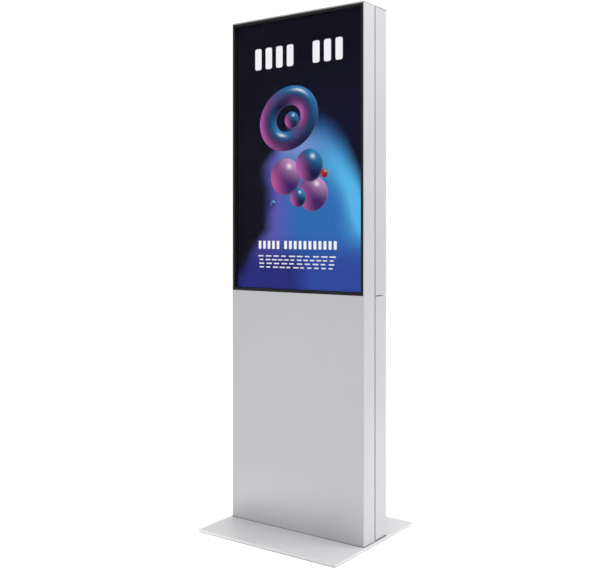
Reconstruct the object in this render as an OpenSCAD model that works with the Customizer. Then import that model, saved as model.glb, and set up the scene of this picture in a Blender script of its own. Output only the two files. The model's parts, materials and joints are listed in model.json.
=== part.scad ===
// Free-standing touchscreen kiosk: a portrait display in a slim two-shell steel column on a
// flat base plate, with two hinged rear doors over the equipment.
// The origin is the middle of the underside of the foot pads. +Z is up and the screen faces -Y.
// Depths run rearwards from the column's front face, heights run up from the base plate's top.

/* [Screen] */
// Width of the lit picture, a 43 inch class panel stood on end
screen_w = 529.4; // [420:0.1:640]
// Height of the lit picture
screen_h = 941.2; // [750:0.1:1100]
// Black margin of the panel beside the picture
side_margin = 4.4; // [3:0.1:6]
// Black margin of the panel above and below the picture
end_margin = 3.1; // [2.5:0.1:6]

/* [Column] */
// Height of the column above the base plate
column_h = 1800; // [1500:1:2160]
// Depth of the column from front to rear
column_d = 147; // [140:1:177]
// Depth of the front housing, up to the seam
housing_d = 70; // [68:1:72]
// Seam between the front housing and the rear doors
seam_gap = 2.6; // [2.4:0.1:3.2]
// Sheet thickness of the front housing
housing_t = 2; // [1.6:0.1:2.4]
// Sheet thickness of the rear doors
door_t = 1.5; // [1.2:0.1:2]
// Outside bend radius of the housing's and the doors' corners
bend_r = 2.6; // [2.5:0.1:4]
// Thickness of the top cap
cap_t = 2; // [1.5:0.1:3]
// Shadow line under the top cap
cap_gap = 1; // [0.8:0.1:2]
// Split between the two rear doors
split_gap = 2.6; // [2:0.1:4]
// How far the split lies below the bottom edge of the display
split_drop = 4; // [2:1:30]
// Gap between the lower door and the base plate
door_lift = 3.6; // [2:0.1:8]

/* [Base] */
// Width of the base plate beyond each side of the column
base_side = 6; // [5.5:0.1:60]
// Depth of the base plate
base_d = 504; // [400:1:620]
// Thickness of the base plate
base_t = 9; // [8:0.5:15]
// Thickness of the rubber pads
pad_t = 2; // [1:0.5:6]
// Radius of the rubber pads
pad_r = 15; // [10:1:25]

/* [Touch frame] */
// Width of the touch frame's face
face_w = 10; // [9:0.5:14]
// Depth from the touch frame's face to the glass
glass_recess = 6.4; // [5.5:0.1:8]
// Thickness of the glass
glass_t = 4; // [3:0.5:5]
// Whole depth of the touch frame
touch_d = 16; // [14:0.5:20]

/* [Frame] */
// Side of the square tube uprights
tube = 30; // [25:1:32]
// Wall of the uprights and the cross rails
tube_t = 2; // [1.5:0.1:3]
// Height of a cross rail
rail_h = 25; // [20:1:30]
// Depth of a cross rail
rail_d = 15; // [12:1:18]
// Spacing of the display's four fixing holes
fixing_pitch = 400; // [200:100:400]

/* [Hinges and locks] */
// Outer radius of a hinge barrel
barrel_r = 2.9; // [2.5:0.1:3]
// Radius of a hinge pin
hinge_pin_r = 1.5; // [1.2:0.1:1.8]
// Thickness of a hinge leaf
leaf_t = 1; // [0.8:0.1:1.1]
// Height of a hinge
hinge_h = 60; // [40:1:90]
// Radius of a lock's barrel
lock_r = 9.4; // [8:0.1:11]
// Radius of a lock's turning plug
plug_r = 6.5; // [5:0.1:7]
// Reach of a lock's cam
cam_l = 21; // [18:0.5:21.5]

/* [Equipment] */
// Side of a cooling fan
fan_size = 92; // [80:1:100]
// Thickness of a cooling fan
fan_t = 25; // [20:1:30]
// Height of the equipment shelf above the base plate
shelf_h = 300; // [200:1:380]
// Width of the media player
player_w = 190; // [150:1:210]
// Height of the media player as it hangs
player_h = 150; // [120:1:180]
// Thickness of the media player
player_t = 32; // [25:1:40]

/* [Hidden] */
$fn = 48;

// Clearances
fit_gap = 0.3;      // between faces that sit beside each other
run_gap = 0.05;     // radial, round a pin or a plug that turns
press_gap = 0.02;   // radial, round a pin that is fixed
bore_gap = 0.25;    // radial, round a screw
seat = 0.2;         // between a piece and what carries it

// Colours
silver = [0.80, 0.80, 0.81];
black = [0.08, 0.08, 0.09];
zinc = [0.68, 0.70, 0.72];
board_green = [0.08, 0.30, 0.16];

// Display, from the picture outwards
window_w = screen_w + 2 * side_margin;
window_h = screen_h + 2 * end_margin;
frame_w = window_w + 2 * face_w;
frame_h = window_h + 2 * face_w;
glass_lap = 5.6;
glass_w = window_w + 2 * glass_lap;
glass_h = window_h + 2 * glass_lap;
rebate_gap = 0.4;
panel_rim = 8.5;
panel_w = screen_w + 2 * panel_rim;
panel_h = screen_h + 2 * panel_rim;
cell_rim = 5.5;
bezel_t = 0.5;
bezel_y = glass_recess + glass_t + 2 * fit_gap;
cell_y = bezel_y + bezel_t + 0.1;
cell_t = 2;
diffuser_y = cell_y + cell_t + fit_gap;
diffuser_t = 3;
chassis_y = diffuser_y;
chassis_t = 1.2;
chassis_d = 19.2;
chassis_back = chassis_y + chassis_d;
channel_in = 1.5;     // channel for the sensor boards, out from the window
channel_out = 5.5;
channel_y = 2;
sensor_in = 2.6;
sensor_t = 1.2;
led_rows = 3;         // strips above the middle one, and as many below it
led_columns = 5;      // lenses on each side of the middle one
led_strip_h = 18;
led_strip_t = 1.6;
led_r = 5;
led_h = 4.4;
mount_screw_r = 3;
mount_head_r = 5.5;

// Column
column_w = frame_w + 2 * (fit_gap + housing_t) + 0.2;
half_w = column_w / 2;
base_w = column_w + 2 * base_side;
base_top = pad_t + base_t;
foot_line = 0.5;
housing_top = column_h - cap_t - cap_gap;
lip_t = 1.5;
display_top = housing_top - lip_t - 0.1;
display_bottom = display_top - frame_h;
display_mid = (display_top + display_bottom) / 2;
door_front = housing_d + seam_gap;
split_top = display_bottom - split_drop + split_gap / 2;
split_bottom = split_top - split_gap;
door_flange = 18;
hinge_flange = 14;
side_flange = 14;

// Frame of tubes, behind the display
hook_d = 18;
rail_y = chassis_back + hook_d + 0.5;
upright_y = rail_y + rail_d - tube;
frame_back = rail_y + rail_d;
upright_inset = housing_t + 16.5;
upright_x = half_w - upright_inset - tube / 2;
bay_x = upright_x - tube / 2;
hook_drop = 150;
hook_w = 30;
hook_t = 2;
hook_half = 225;
hook_lip = 8;
cap_tabs = [-150, 150];
cap_tab_w = 40;
cap_tab_t = 2;
cap_screw_r = 2;
foot_t = 4;
foot_rim = 14;
foot_wall = 22;
top_rail_h = column_h - 45;
mid_rail_h = display_bottom + 30;
rail_heights = [mid_rail_h, display_mid - hook_drop, display_mid + hook_drop, top_rail_h - rail_h];
bolt_r = 4.9;
bolt_head_r = 8.5;
bolt_head_h = 5.5;
bolt_xs = [-upright_x + 45, 0, upright_x - 45];
bolt_ys = [upright_y + 3, frame_back - 3];
nut_h = 8;
nut_r = 9.8;
clip_d = 18;
clip_t = 2;
clip_leg = 26;
clip_heights = [120, split_bottom - 110, display_mid - 240, display_mid + 240, column_h - 90];

// Hat sections behind the lower front panel
hat_x = 130;
hat_w = 31;
hat_h = 14;
hat_t = 1.5;
hat_flange = 14.5;
hat_end = 40;

// Hinges
barrel_x = -half_w - barrel_r - 0.1;
barrel_depth = housing_d + seam_gap / 2;
leaf_x = -half_w + hinge_flange - 1;
knuckle_gap = 0.3;
lower_hinges = [60, split_bottom / 2 - hinge_h / 2, split_bottom - 60 - hinge_h];
upper_hinges = [split_top + 60, (split_top + housing_top) / 2 - hinge_h / 2, housing_top - 60 - hinge_h];
rivet_r = 1.6;
rivet_steps = [-20, 0, 20];

// Locks
lock_x = half_w - 40;
lock_heights = [split_bottom / 2 + 60, (split_top + housing_top) / 2 + 60];
lock_reach = 20;
cam_t = 2;
cam_y = column_d - lock_reach - cam_t;
cam_w = 12;
strike_t = 2;
strike_h = 44;
strike_gap = 1;
nut_across = 4;
cam_screw_r = 3;
strike_x = lock_x + lock_r + 2.6;

// Fans
fan_plate_t = 2;
fan_y = frame_back + seat + fan_plate_t + seat;
fan_x = 95;
fan_h = column_h - 150;
fan_bore = fan_size / 2 - 2.5;
hub_r = 17;
fan_shaft_r = 2;
fan_blades = 7;
fan_pitch = 38;

// Player and its plate
player_plate_t = 2;
player_plate_w = player_w + 50;
player_plate_h = 322;
plate_way = 80;
plate_way_w = 64;
player_plate_z = mid_rail_h - 8;
player_y = frame_back + seat + player_plate_t + seat;
player_z = player_plate_z + 90;
button_r = 5;
button_z = player_z + player_h - 22;
button_y = player_y + player_t / 2 - 3;
fins = 9;             // cooling slots on each side of the middle one
fin_step = 9.6;
fin_slot = 5.2;
fin_d = 8;

// Shelf, sockets and inlet
shelf_t = 1.5;
shelf_y0 = 24;
shelf_y1 = 116;
shelf_flange = 30;
socket_l = 250;
socket_w = 48;
socket_t = 38;
socket_y = 42;
outlet_r = 19;
outlet_xs = [-80, 0, 80];
plugged_xs = [0, 80];
plugged_r = 17.5;
plugged_h = 26;
shelf_rim = 14;
inlet_x = -130;
inlet_y = 104;
inlet_plate_t = 2;
inlet_plate_w = 96;
inlet_plate_h = 62;
inlet_plate_side = 38;
inlet_hole_w = 25;
inlet_hole_h = 17;
inlet_pins = [-7, 0, 7];
inlet_z = 34;
inlet_w = 30;
inlet_h = 22;
switch_w = 19;
switch_h = 21;
switch_x = inlet_x + 34;
rocker_y = inlet_y + inlet_plate_t - 2;
rocker_pin_r = 1.2;

// Mouse hole for the mains cord, in the lower door's bottom edge
notch_w = 56;
notch_h = 24;
notch_x = inlet_x;
edging_t = 2;

// Vents: blocks of slots, each [bottom height, rows]
slot_l = 150;
slot_t = 4;
slot_step = 12;
slot_x = 95;
upper_vents = [[split_top + 60, 10], [fan_h - 48, 9]];
lower_vents = [[90, 12]];
filter_t = 5;
filter_edge = 14;

function y_at(depth) = depth - column_d / 2;
function z_at(height) = base_top + height;

// A block between two corners: x, then depth, then height
module block(x0, x1, d0, d1, h0, h1) {
    translate([x0, y_at(d0), z_at(h0)]) cube([x1 - x0, d1 - d0, h1 - h0]);
}

// A block on the left and its mirror image on the right
module pair(x0, x1, d0, d1, h0, h1) {
    for (side = [-1, 1]) scale_x(side) block(x0, x1, d0, d1, h0, h1);
}

module scale_x(side) {
    if (side > 0) children();
    else mirror([1, 0, 0]) children();
}

// A rod along the depth, from depth d0 to d1
module rod_y(x, h, d0, d1, r, sides = 48) {
    translate([x, y_at(d0), z_at(h)]) rotate([-90, 0, 0]) cylinder(h = d1 - d0, r = r, $fn = sides);
}

// A rod along the height
module rod_z(x, d, h0, h1, r, sides = 48) {
    translate([x, y_at(d), z_at(h0)]) cylinder(h = h1 - h0, r = r, $fn = sides);
}

// Rectangle in plan with all four corners rounded
module rounded(w, d, r) {
    square([w - 2 * r, d], center = true);
    square([w, d - 2 * r], center = true);
    for (x = [-1, 1], y = [-1, 1]) translate([x * (w / 2 - r), y * (d / 2 - r)]) circle(r);
}

// Rectangle in plan whose front corners are rounded; the front edge lies on y = 0
module rounded_front(w, d, r) {
    translate([-w / 2, r]) square([w, d - r]);
    translate([-w / 2 + r, 0]) square([w - 2 * r, r + 1]);
    for (x = [-1, 1]) translate([x * (w / 2 - r), r]) circle(r);
}

// Plan of a folded sheet: a front wall and two side walls
module folded_plan(w, d, t, r) {
    difference() {
        rounded_front(w, d, r);
        translate([0, t]) rounded_front(w - 2 * t, d, r - t + 0.5);
    }
}

// A flat ring that stands upright: outer and inner sizes, centred on the display
module upright_ring(w, h, wi, hi, d0, d1) {
    difference() {
        block(-w / 2, w / 2, d0, d1, display_mid - h / 2, display_mid + h / 2);
        block(-wi / 2, wi / 2, d0 - 1, d1 + 1, display_mid - hi / 2, display_mid + hi / 2);
    }
}

// A slab centred on the display
module display_slab(w, h, d0, d1) {
    block(-w / 2, w / 2, d0, d1, display_mid - h / 2, display_mid + h / 2);
}

// ---- Base ----

module base_plate() color(silver) difference() {
    translate([0, 0, pad_t]) linear_extrude(base_t) rounded(base_w, base_d, 2.5);
    for (x = bolt_xs, d = bolt_ys) {
        rod_z(x, d, -base_t - 1, 1, bolt_r + bore_gap);
        rod_z(x, d, -base_t - 1, -base_t + bolt_head_h + 0.4, bolt_head_r + 1);
    }
}

module base_pads() color(black)
    for (x = [-base_w / 2 + 40, base_w / 2 - 40], y = [-base_d / 2 + 30, 0, base_d / 2 - 30])
        translate([x, y, 0]) cylinder(h = pad_t, r = pad_r);

module column_foot() color(zinc) difference() {
    union() {
        block(-bay_x - tube, bay_x + tube, upright_y - foot_rim, frame_back + foot_rim, 0, foot_t);
        for (d = [upright_y - foot_rim, frame_back + foot_rim - foot_t])
            block(-bay_x - tube, bay_x + tube, d, d + foot_t, 0, foot_wall);
    }
    for (x = bolt_xs, d = bolt_ys) rod_z(x, d, -1, foot_t + 1, bolt_r + bore_gap);
}

module foot_bolts() color(zinc) for (x = bolt_xs, d = bolt_ys) difference() {
    union() {
        rod_z(x, d, -base_t + 0.3, -base_t + 0.3 + bolt_head_h, bolt_head_r);
        rod_z(x, d, -base_t + 1, foot_t + 11, bolt_r);
    }
    rod_z(x, d, -base_t, -base_t + 4, bolt_head_r - 3.9, 6);
}

module foot_nuts() color(zinc) for (x = bolt_xs, d = bolt_ys) difference() {
    rod_z(x, d, foot_t, foot_t + nut_h, nut_r, 6);
    rod_z(x, d, foot_t - 1, foot_t + nut_h + 1, bolt_r + press_gap);
}

// ---- Frame of tubes ----

module frame_uprights() color(zinc) for (side = [-1, 1]) scale_x(side) difference() {
    block(bay_x, bay_x + tube, upright_y, frame_back, foot_t, housing_top - lip_t - seat);
    block(bay_x + tube_t, bay_x + tube - tube_t, upright_y + tube_t, frame_back - tube_t,
        foot_t - 1, column_h);
}

module frame_cross_rails() color(zinc) for (h = rail_heights) difference() {
    block(-bay_x, bay_x, rail_y, frame_back, h, h + rail_h);
    block(-bay_x - 1, bay_x + 1, rail_y + tube_t, frame_back - tube_t, h + tube_t, h + rail_h - tube_t);
}

// ---- Front housing and top cap ----

module front_housing() color(silver) difference() {
    union() {
        translate([0, y_at(0), z_at(foot_line)]) linear_extrude(housing_top - foot_line)
            folded_plan(column_w, housing_d, housing_t, bend_r);
        translate([0, y_at(0), z_at(housing_top - lip_t)]) linear_extrude(lip_t)
            rounded_front(column_w, housing_d, bend_r);
        // rear flanges, where the doors' seals and hinges sit
        pair(half_w - housing_t - side_flange, half_w - 0.5, housing_d - housing_t, housing_d,
            foot_line, housing_top - 0.5);
        // ledge that the display stands on, and the foot flange
        block(-half_w + 1, half_w - 1, 1, touch_d, display_bottom - seat - lip_t, display_bottom - seat);
        block(-half_w + 1, half_w - 1, 1, 20, foot_line, foot_line + housing_t);
    }
    // window for the display, as wide as the space between the side walls
    block(-half_w + housing_t, half_w - housing_t, -1, housing_t + 2,
        display_bottom - seat, housing_top - lip_t);
    // notches that the cap's tabs drop through
    for (x = cap_tabs)
        block(x - cap_tab_w / 2 - fit_gap, x + cap_tab_w / 2 + fit_gap, frame_back - fit_gap, housing_d + 1,
            housing_top - lip_t - 1, housing_top + 1);
    for (h = concat(lower_hinges, upper_hinges), s = rivet_steps)
        rod_y(leaf_x - 5, h + hinge_h / 2 + s, housing_d - housing_t - 1, housing_d + 1, rivet_r + run_gap);
}

// Folded clips that tie the housing's side walls to the uprights
module housing_clips() color(zinc) {
    inner = bay_x + tube + seat;
    outer = half_w - housing_t - seat;
    near = upright_y + 4;
    far = near + clip_d;
    for (h = clip_heights) {
        pair(inner, outer, near, far, h, h + clip_t);
        pair(inner, inner + clip_t, near, far, h + 1, h + clip_leg);
        pair(outer - clip_t, outer, near, far, h + clip_t - clip_leg, h + 1);
    }
}

// Two hat sections behind the lower front panel
module panel_stiffeners() color(zinc) for (side = [-1, 1]) scale_x(side) {
    low = hat_end;
    high = display_bottom - hat_end;
    back = housing_t + hat_h;
    for (s = [-1, 1]) {
        web = hat_x + s * (hat_w - hat_t) / 2;
        rim = [hat_x + s * (hat_w / 2 - hat_t), hat_x + s * (hat_w / 2 + hat_flange)];
        block(web - hat_t / 2, web + hat_t / 2, housing_t, back, low, high);
        block(min(rim), max(rim), housing_t, housing_t + hat_t, low, high);
    }
    block(hat_x - hat_w / 2, hat_x + hat_w / 2, back - hat_t, back, low, high);
}

module top_cap() color(silver) difference() {
    union() {
        translate([0, 0, z_at(column_h - cap_t)]) linear_extrude(cap_t) rounded(column_w, column_d, bend_r);
        for (x = cap_tabs)
            block(x - cap_tab_w / 2, x + cap_tab_w / 2, frame_back + seat, frame_back + seat + cap_tab_t,
                top_rail_h - rail_h, column_h - cap_t + 0.5);
    }
    for (x = cap_tabs)
        rod_y(x, top_rail_h - rail_h / 2, frame_back - 1, frame_back + 4, cap_screw_r + bore_gap);
}

// Foam strip between the housing's top and the cap, set back as a shadow line
module top_cap_gasket() color(black) difference() {
    block(-half_w + 2.5, half_w - 2.5, 2.5, housing_d - 1, housing_top, column_h - cap_t);
    block(-half_w + 12, half_w - 12, 12, housing_d, housing_top - 1, column_h);
}

module top_cap_screws() color(zinc) for (x = cap_tabs) {
    rod_y(x, top_rail_h - rail_h / 2, frame_back, frame_back + 3, cap_screw_r);
    rod_y(x, top_rail_h - rail_h / 2, frame_back + seat + cap_tab_t, frame_back + 5, 2 * cap_screw_r);
}

// ---- Display ----

module touch_frame() color(black) difference() {
    upright_ring(frame_w, frame_h, window_w, window_h, 0, touch_d);
    // rebate for the glass, and a channel for the sensor boards in front of it
    display_slab(glass_w + 2 * rebate_gap, glass_h + 2 * rebate_gap, glass_recess, touch_d + 1);
    upright_ring(window_w + 2 * channel_out, window_h + 2 * channel_out,
        window_w + 2 * channel_in, window_h + 2 * channel_in, channel_y, glass_recess + 1);
}

module touch_sensor_boards() color(board_green) {
    long = window_h / 2 - 4;
    wide = window_w / 2 - 4;
    front = channel_y + 0.4;
    back = glass_recess - 0.2;
    for (side = [-1, 1]) {
        middle = display_mid + side * (window_h / 2 + sensor_in + sensor_t / 2);
        scale_x(side) block(window_w / 2 + sensor_in, window_w / 2 + sensor_in + sensor_t, front, back,
            display_mid - long, display_mid + long);
        block(-wide, wide, front, back, middle - sensor_t / 2, middle + sensor_t / 2);
    }
}

module touch_glass() color([0.10, 0.11, 0.13])
    display_slab(glass_w, glass_h, glass_recess + seat, glass_recess + seat + glass_t);

module screen_cell() color([0.06, 0.07, 0.25])
    display_slab(screen_w + 2 * cell_rim, screen_h + 2 * cell_rim, cell_y, cell_y + cell_t);

module panel_bezel() color(black) {
    upright_ring(panel_w, panel_h, screen_w + 3, screen_h + 3, bezel_y, bezel_y + bezel_t);
    upright_ring(panel_w, panel_h, panel_w - 1.6, panel_h - 1.6, bezel_y + bezel_t / 2, chassis_y - 0.1);
}

module diffuser_plate() color([0.92, 0.93, 0.95])
    display_slab(screen_w + 2 * cell_rim - 2, screen_h + 2 * cell_rim - 2, diffuser_y, diffuser_y + diffuser_t);

// Strips of LEDs across the back of the panel's tray
module led_bars() color([0.88, 0.88, 0.84]) for (i = [-led_rows : led_rows]) {
    h = display_mid + i * screen_h / (2 * led_rows + 1.6);
    deck = chassis_back - chassis_t - led_strip_t;
    block(-screen_w / 2 + 12, screen_w / 2 - 12, deck, chassis_back - chassis_t,
        h - led_strip_h / 2, h + led_strip_h / 2);
    for (k = [-led_columns : led_columns])
        rod_y(k * screen_w / (2 * led_columns + 2), h, deck - led_h, deck, led_r, 24);
}

module panel_chassis() color(zinc) difference() {
    display_slab(panel_w, panel_h, chassis_y, chassis_back);
    display_slab(panel_w - 3, panel_h - 3, chassis_y - 1, chassis_back - chassis_t);
    for (x = [-1, 1], z = [-1, 1])
        rod_y(x * fixing_pitch / 2, display_mid + z * fixing_pitch / 2,
            chassis_back - 3, chassis_back + 1, mount_screw_r + run_gap);
}

// Upright channels screwed to the display, with hooks that hang over the cross rails
module display_hook_rails() color(black) for (side = [-1, 1]) scale_x(side) {
    x0 = fixing_pitch / 2 - hook_w / 2;
    x1 = fixing_pitch / 2 + hook_w / 2;
    d0 = chassis_back;
    lip = frame_back + fit_gap;
    difference() {
        block(x0, x1, d0, d0 + hook_d, display_mid - hook_half, display_mid + hook_half);
        block(x0 + hook_t, x1 - hook_t, d0 + hook_t, d0 + hook_d + 1,
            display_mid - hook_half - 1, display_mid + hook_half + 1);
        for (z = [-1, 1])
            rod_y(fixing_pitch / 2, display_mid + z * fixing_pitch / 2, d0 - 1, d0 + 3, mount_screw_r + bore_gap);
    }
    for (h = [display_mid - hook_drop, display_mid + hook_drop]) {
        block(x0 + 6, x1 - 6, d0 + 1, lip + hook_t, h + rail_h + seat, h + rail_h + 4);
        block(x0 + 6, x1 - 6, lip, lip + hook_t, h + rail_h - hook_lip, h + rail_h + 2);
    }
}

module display_mount_screws() color(zinc) for (x = [-1, 1], z = [-1, 1]) {
    px = x * fixing_pitch / 2;
    pz = display_mid + z * fixing_pitch / 2;
    rod_y(px, pz, chassis_back - 5, chassis_back + 3, mount_screw_r);
    rod_y(px, pz, chassis_back + 2, chassis_back + 6, mount_head_r);
}

// ---- Display electronics ----

cover_w = 330;
cover_h = 290;
cover_d = hook_d - 1;
board_y = chassis_back + 5;

board_t = 1.6;
chip_y = board_y + 1;

// A circuit board on its four spacers
module board(x0, x1, h0, h1) {
    block(x0, x1, board_y, board_y + board_t, h0, h1);
    for (x = [x0 + 6, x1 - 6], h = [h0 + 6, h1 - 6]) rod_y(x, h, chassis_back, board_y + 0.5, 2.5, 24);
}

module driver_board() color(board_green) union() {
    board(-152, -12, display_mid - 60, display_mid + 110);
    // processor with its heat sink, and the memory beside it
    block(-104, -64, chip_y, chip_y + 6, display_mid + 10, display_mid + 50);
    for (x = [-140, -120, -44, -24]) block(x, x + 14, chip_y, chip_y + 2, display_mid + 20, display_mid + 42);
    // sockets along the bottom edge
    for (x = [-146 : 32 : -50]) block(x, x + 22, chip_y, chip_y + 8, display_mid - 60, display_mid - 44);
}

module power_board() color(board_green) union() {
    board(12, 152, display_mid - 110, display_mid + 110);
    // two transformers, six capacitors and a heat sink
    block(30, 74, chip_y, chip_y + 10, display_mid - 10, display_mid + 32);
    block(92, 134, chip_y, chip_y + 9, display_mid + 50, display_mid + 86);
    for (x = [44, 70, 96], h = [display_mid - 84, display_mid - 56]) rod_y(x, h, chip_y, chip_y + 9, 9);
    block(116, 122, chip_y, chip_y + 9, display_mid - 90, display_mid - 20);
}

cover_t = 1;
cover_slot_x = 80;
cover_slot_half = 45;
cover_slots = 5;      // slots above the middle one, and as many below it
cover_slot_step = 18;
cover_way = 75;       // ways out for the picture lead and the display's mains lead
cover_way_w = 30;

module electronics_cover() color(zinc) difference() {
    back = chassis_back + cover_d;
    block(-cover_w / 2, cover_w / 2, chassis_back, back, display_mid - cover_h / 2, display_mid + cover_h / 2);
    block(-cover_w / 2 + cover_t, cover_w / 2 - cover_t, chassis_back - 1, back - cover_t,
        display_mid - cover_h / 2 + cover_t, display_mid + cover_h / 2 - cover_t);
    for (side = [-1, 1], i = [-cover_slots : cover_slots])
        block(side * cover_slot_x - cover_slot_half, side * cover_slot_x + cover_slot_half, back - 2, back + 1,
            display_mid + i * cover_slot_step - slot_t / 2, display_mid + i * cover_slot_step + slot_t / 2);
    for (x = [-cover_way, cover_way])
        block(x - cover_way_w / 2, x + cover_way_w / 2, chassis_back - 1, back - 3,
            display_mid - cover_h / 2 - 1, display_mid - cover_h / 2 + 2);
}

module speakers() color(black) for (side = [-1, 1]) scale_x(side) difference() {
    block(60, 160, chassis_back, chassis_back + 22, display_bottom + 62, display_bottom + 110);
    rod_y(110, display_bottom + 86, chassis_back + 16, chassis_back + 23, 20);
}

// ---- Player ----

module player_plate() color(zinc) difference() {
    block(-player_plate_w / 2, player_plate_w / 2, frame_back + seat, frame_back + seat + player_plate_t,
        player_plate_z, player_plate_z + player_plate_h);
    // ways through for the leads
    for (x = [-plate_way, plate_way]) block(x - plate_way_w / 2, x + plate_way_w / 2, frame_back - 1,
        frame_back + 5, player_plate_z + player_plate_h - 76, player_plate_z + player_plate_h - 24);
}

module media_player() color([0.16, 0.17, 0.18]) difference() {
    block(-player_w / 2, player_w / 2, player_y, player_y + player_t, player_z, player_z + player_h);
    // cooling fins along the back
    for (i = [-fins : fins])
        block(i * fin_step - fin_slot / 2, i * fin_step + fin_slot / 2,
            player_y + player_t - fin_d, player_y + player_t + 1, player_z + 8, player_z + player_h - 8);
    // recess for the power button
    translate([player_w / 2 - 6, y_at(button_y), z_at(button_z)])
        rotate([0, 90, 0]) cylinder(h = 10, r = button_r + fit_gap);
}

module player_button() color([0.75, 0.76, 0.78])
    translate([player_w / 2 - 4, y_at(button_y), z_at(button_z)])
        rotate([0, 90, 0]) cylinder(h = 4.8, r = button_r);

// ---- Lower bay ----

module equipment_shelf() color(zinc) difference() {
    union() {
        block(-bay_x + seat, bay_x - seat, shelf_y0, shelf_y1, shelf_h, shelf_h + shelf_t);
        for (x = [-bay_x + seat, bay_x - seat - shelf_t])
            block(x, x + shelf_t, shelf_y0, shelf_y1, shelf_h - shelf_flange, shelf_h + 1);
        for (d = [shelf_y0, shelf_y1 - shelf_t])
            block(-bay_x + seat, bay_x - seat, d, d + shelf_t, shelf_h, shelf_h + shelf_rim);
    }
    for (x = [-3 : 3]) if (abs(x) > 2) block(x * 56 - 16, x * 56 + 16, shelf_y0 + 22, shelf_y1 - 22,
        shelf_h - 1, shelf_h + 3);
}

module socket_block() color([0.90, 0.90, 0.89]) {
    z0 = shelf_h + shelf_t;
    middle = socket_y + socket_w / 2;
    difference() {
        block(-socket_l / 2, socket_l / 2, socket_y, socket_y + socket_w, z0, z0 + socket_t);
        for (x = outlet_xs) rod_z(x, middle, z0 + socket_t - 1.2, z0 + socket_t + 1, outlet_r);
    }
    // the two plugs that stay in the block
    for (x = plugged_xs) rod_z(x, middle, z0 + socket_t - 1, z0 + socket_t + plugged_h, plugged_r);
}

module inlet_bracket() color(zinc) difference() {
    union() {
        block(inlet_x - inlet_plate_side, inlet_x - inlet_plate_side + inlet_plate_w,
            inlet_y, inlet_y + inlet_plate_t, seat, seat + inlet_plate_h);
        block(inlet_x - inlet_plate_side, inlet_x - inlet_plate_side + inlet_plate_w,
            frame_back + foot_rim + fit_gap, inlet_y + 1, seat, seat + inlet_plate_t);
    }
    block(inlet_x - inlet_w / 2, inlet_x + inlet_w / 2, inlet_y - 1, inlet_y + 4,
        inlet_z - inlet_h / 2, inlet_z + inlet_h / 2);
    block(switch_x - switch_w / 2, switch_x + switch_w / 2, inlet_y - 1, inlet_y + 4,
        inlet_z - switch_h / 2, inlet_z + switch_h / 2);
}

// Appliance inlet with its three pins, and the frame of the rocker switch beside it
module mains_inlet() color(black) {
    back = inlet_y + inlet_plate_t;
    difference() {
        union() {
            block(inlet_x - inlet_w / 2 + 0.3, inlet_x + inlet_w / 2 - 0.3, inlet_y - 18, back + 0.5,
                inlet_z - inlet_h / 2 + 0.3, inlet_z + inlet_h / 2 - 0.3);
            block(inlet_x - inlet_w / 2 - 4, inlet_x + inlet_w / 2 + 4, back, back + 3,
                inlet_z - inlet_h / 2 - 3, inlet_z + inlet_h / 2 + 3);
        }
        block(inlet_x - inlet_hole_w / 2, inlet_x + inlet_hole_w / 2, back - 13, back + 4,
            inlet_z - inlet_hole_h / 2, inlet_z + inlet_hole_h / 2);
    }
    for (x = inlet_pins)
        block(inlet_x + x - 1, inlet_x + x + 1, back - 14, back - 1, inlet_z - 1 + (x == 0 ? 3 : 0),
            inlet_z + 3 + (x == 0 ? 3 : 0));
    difference() {
        union() {
            block(switch_x - switch_w / 2 + 0.3, switch_x + switch_w / 2 - 0.3, inlet_y - 14, back + 0.5,
                inlet_z - switch_h / 2 + 0.3, inlet_z + switch_h / 2 - 0.3);
            block(switch_x - switch_w / 2 - 1.5, switch_x + switch_w / 2 + 1.5, back, back + 2,
                inlet_z - switch_h / 2 - 1.5, inlet_z + switch_h / 2 + 1.5);
        }
        block(switch_x - 6.5, switch_x + 6.5, back - 10, back + 3, inlet_z - 9, inlet_z + 9);
    }
    // pin that the rocker turns on
    translate([switch_x - 7, y_at(rocker_y), z_at(inlet_z)]) rotate([0, 90, 0]) cylinder(h = 14, r = rocker_pin_r);
}

// Rocker: it turns about a line along X and rocks one end in and the other out
module main_switch() color([0.55, 0.05, 0.05]) difference() {
    translate([switch_x - 6.2, y_at(rocker_y), z_at(inlet_z)]) rotate([90, 0, 90])
        linear_extrude(12.4) polygon([[-5, -5], [3.4, -7.6], [1.6, 0], [4.6, 7.0], [-5, 5]]);
    translate([switch_x - 7, y_at(rocker_y), z_at(inlet_z)]) rotate([0, 90, 0]) cylinder(h = 14, r = rocker_pin_r + run_gap);
}

// ---- Fans ----

module fan_plate() color(zinc) difference() {
    block(-bay_x - 14, bay_x + 14, frame_back + seat, frame_back + seat + fan_plate_t,
        fan_h - fan_size / 2 - 6, fan_h + fan_size / 2 + 6);
    for (x = [-fan_x, fan_x]) rod_y(x, fan_h, frame_back - 1, frame_back + 5, fan_bore);
}

module fan_frames() color(black) for (x = [-fan_x, fan_x]) {
    difference() {
        block(x - fan_size / 2, x + fan_size / 2, fan_y, fan_y + fan_t, fan_h - fan_size / 2, fan_h + fan_size / 2);
        rod_y(x, fan_h, fan_y - 1, fan_y + fan_t + 1, fan_bore);
    }
    // motor cup on four arms, with the shaft that the rotor turns on
    rod_y(x, fan_h, fan_y, fan_y + 3, hub_r);
    translate([x, y_at(fan_y) + 1.5, z_at(fan_h)])
        for (a = [45, 135]) rotate([0, a, 0]) cube([2 * fan_bore + 1, 3, 5], center = true);
    rod_y(x, fan_h, fan_y + 2, fan_y + fan_t - 4, fan_shaft_r);
}

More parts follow.
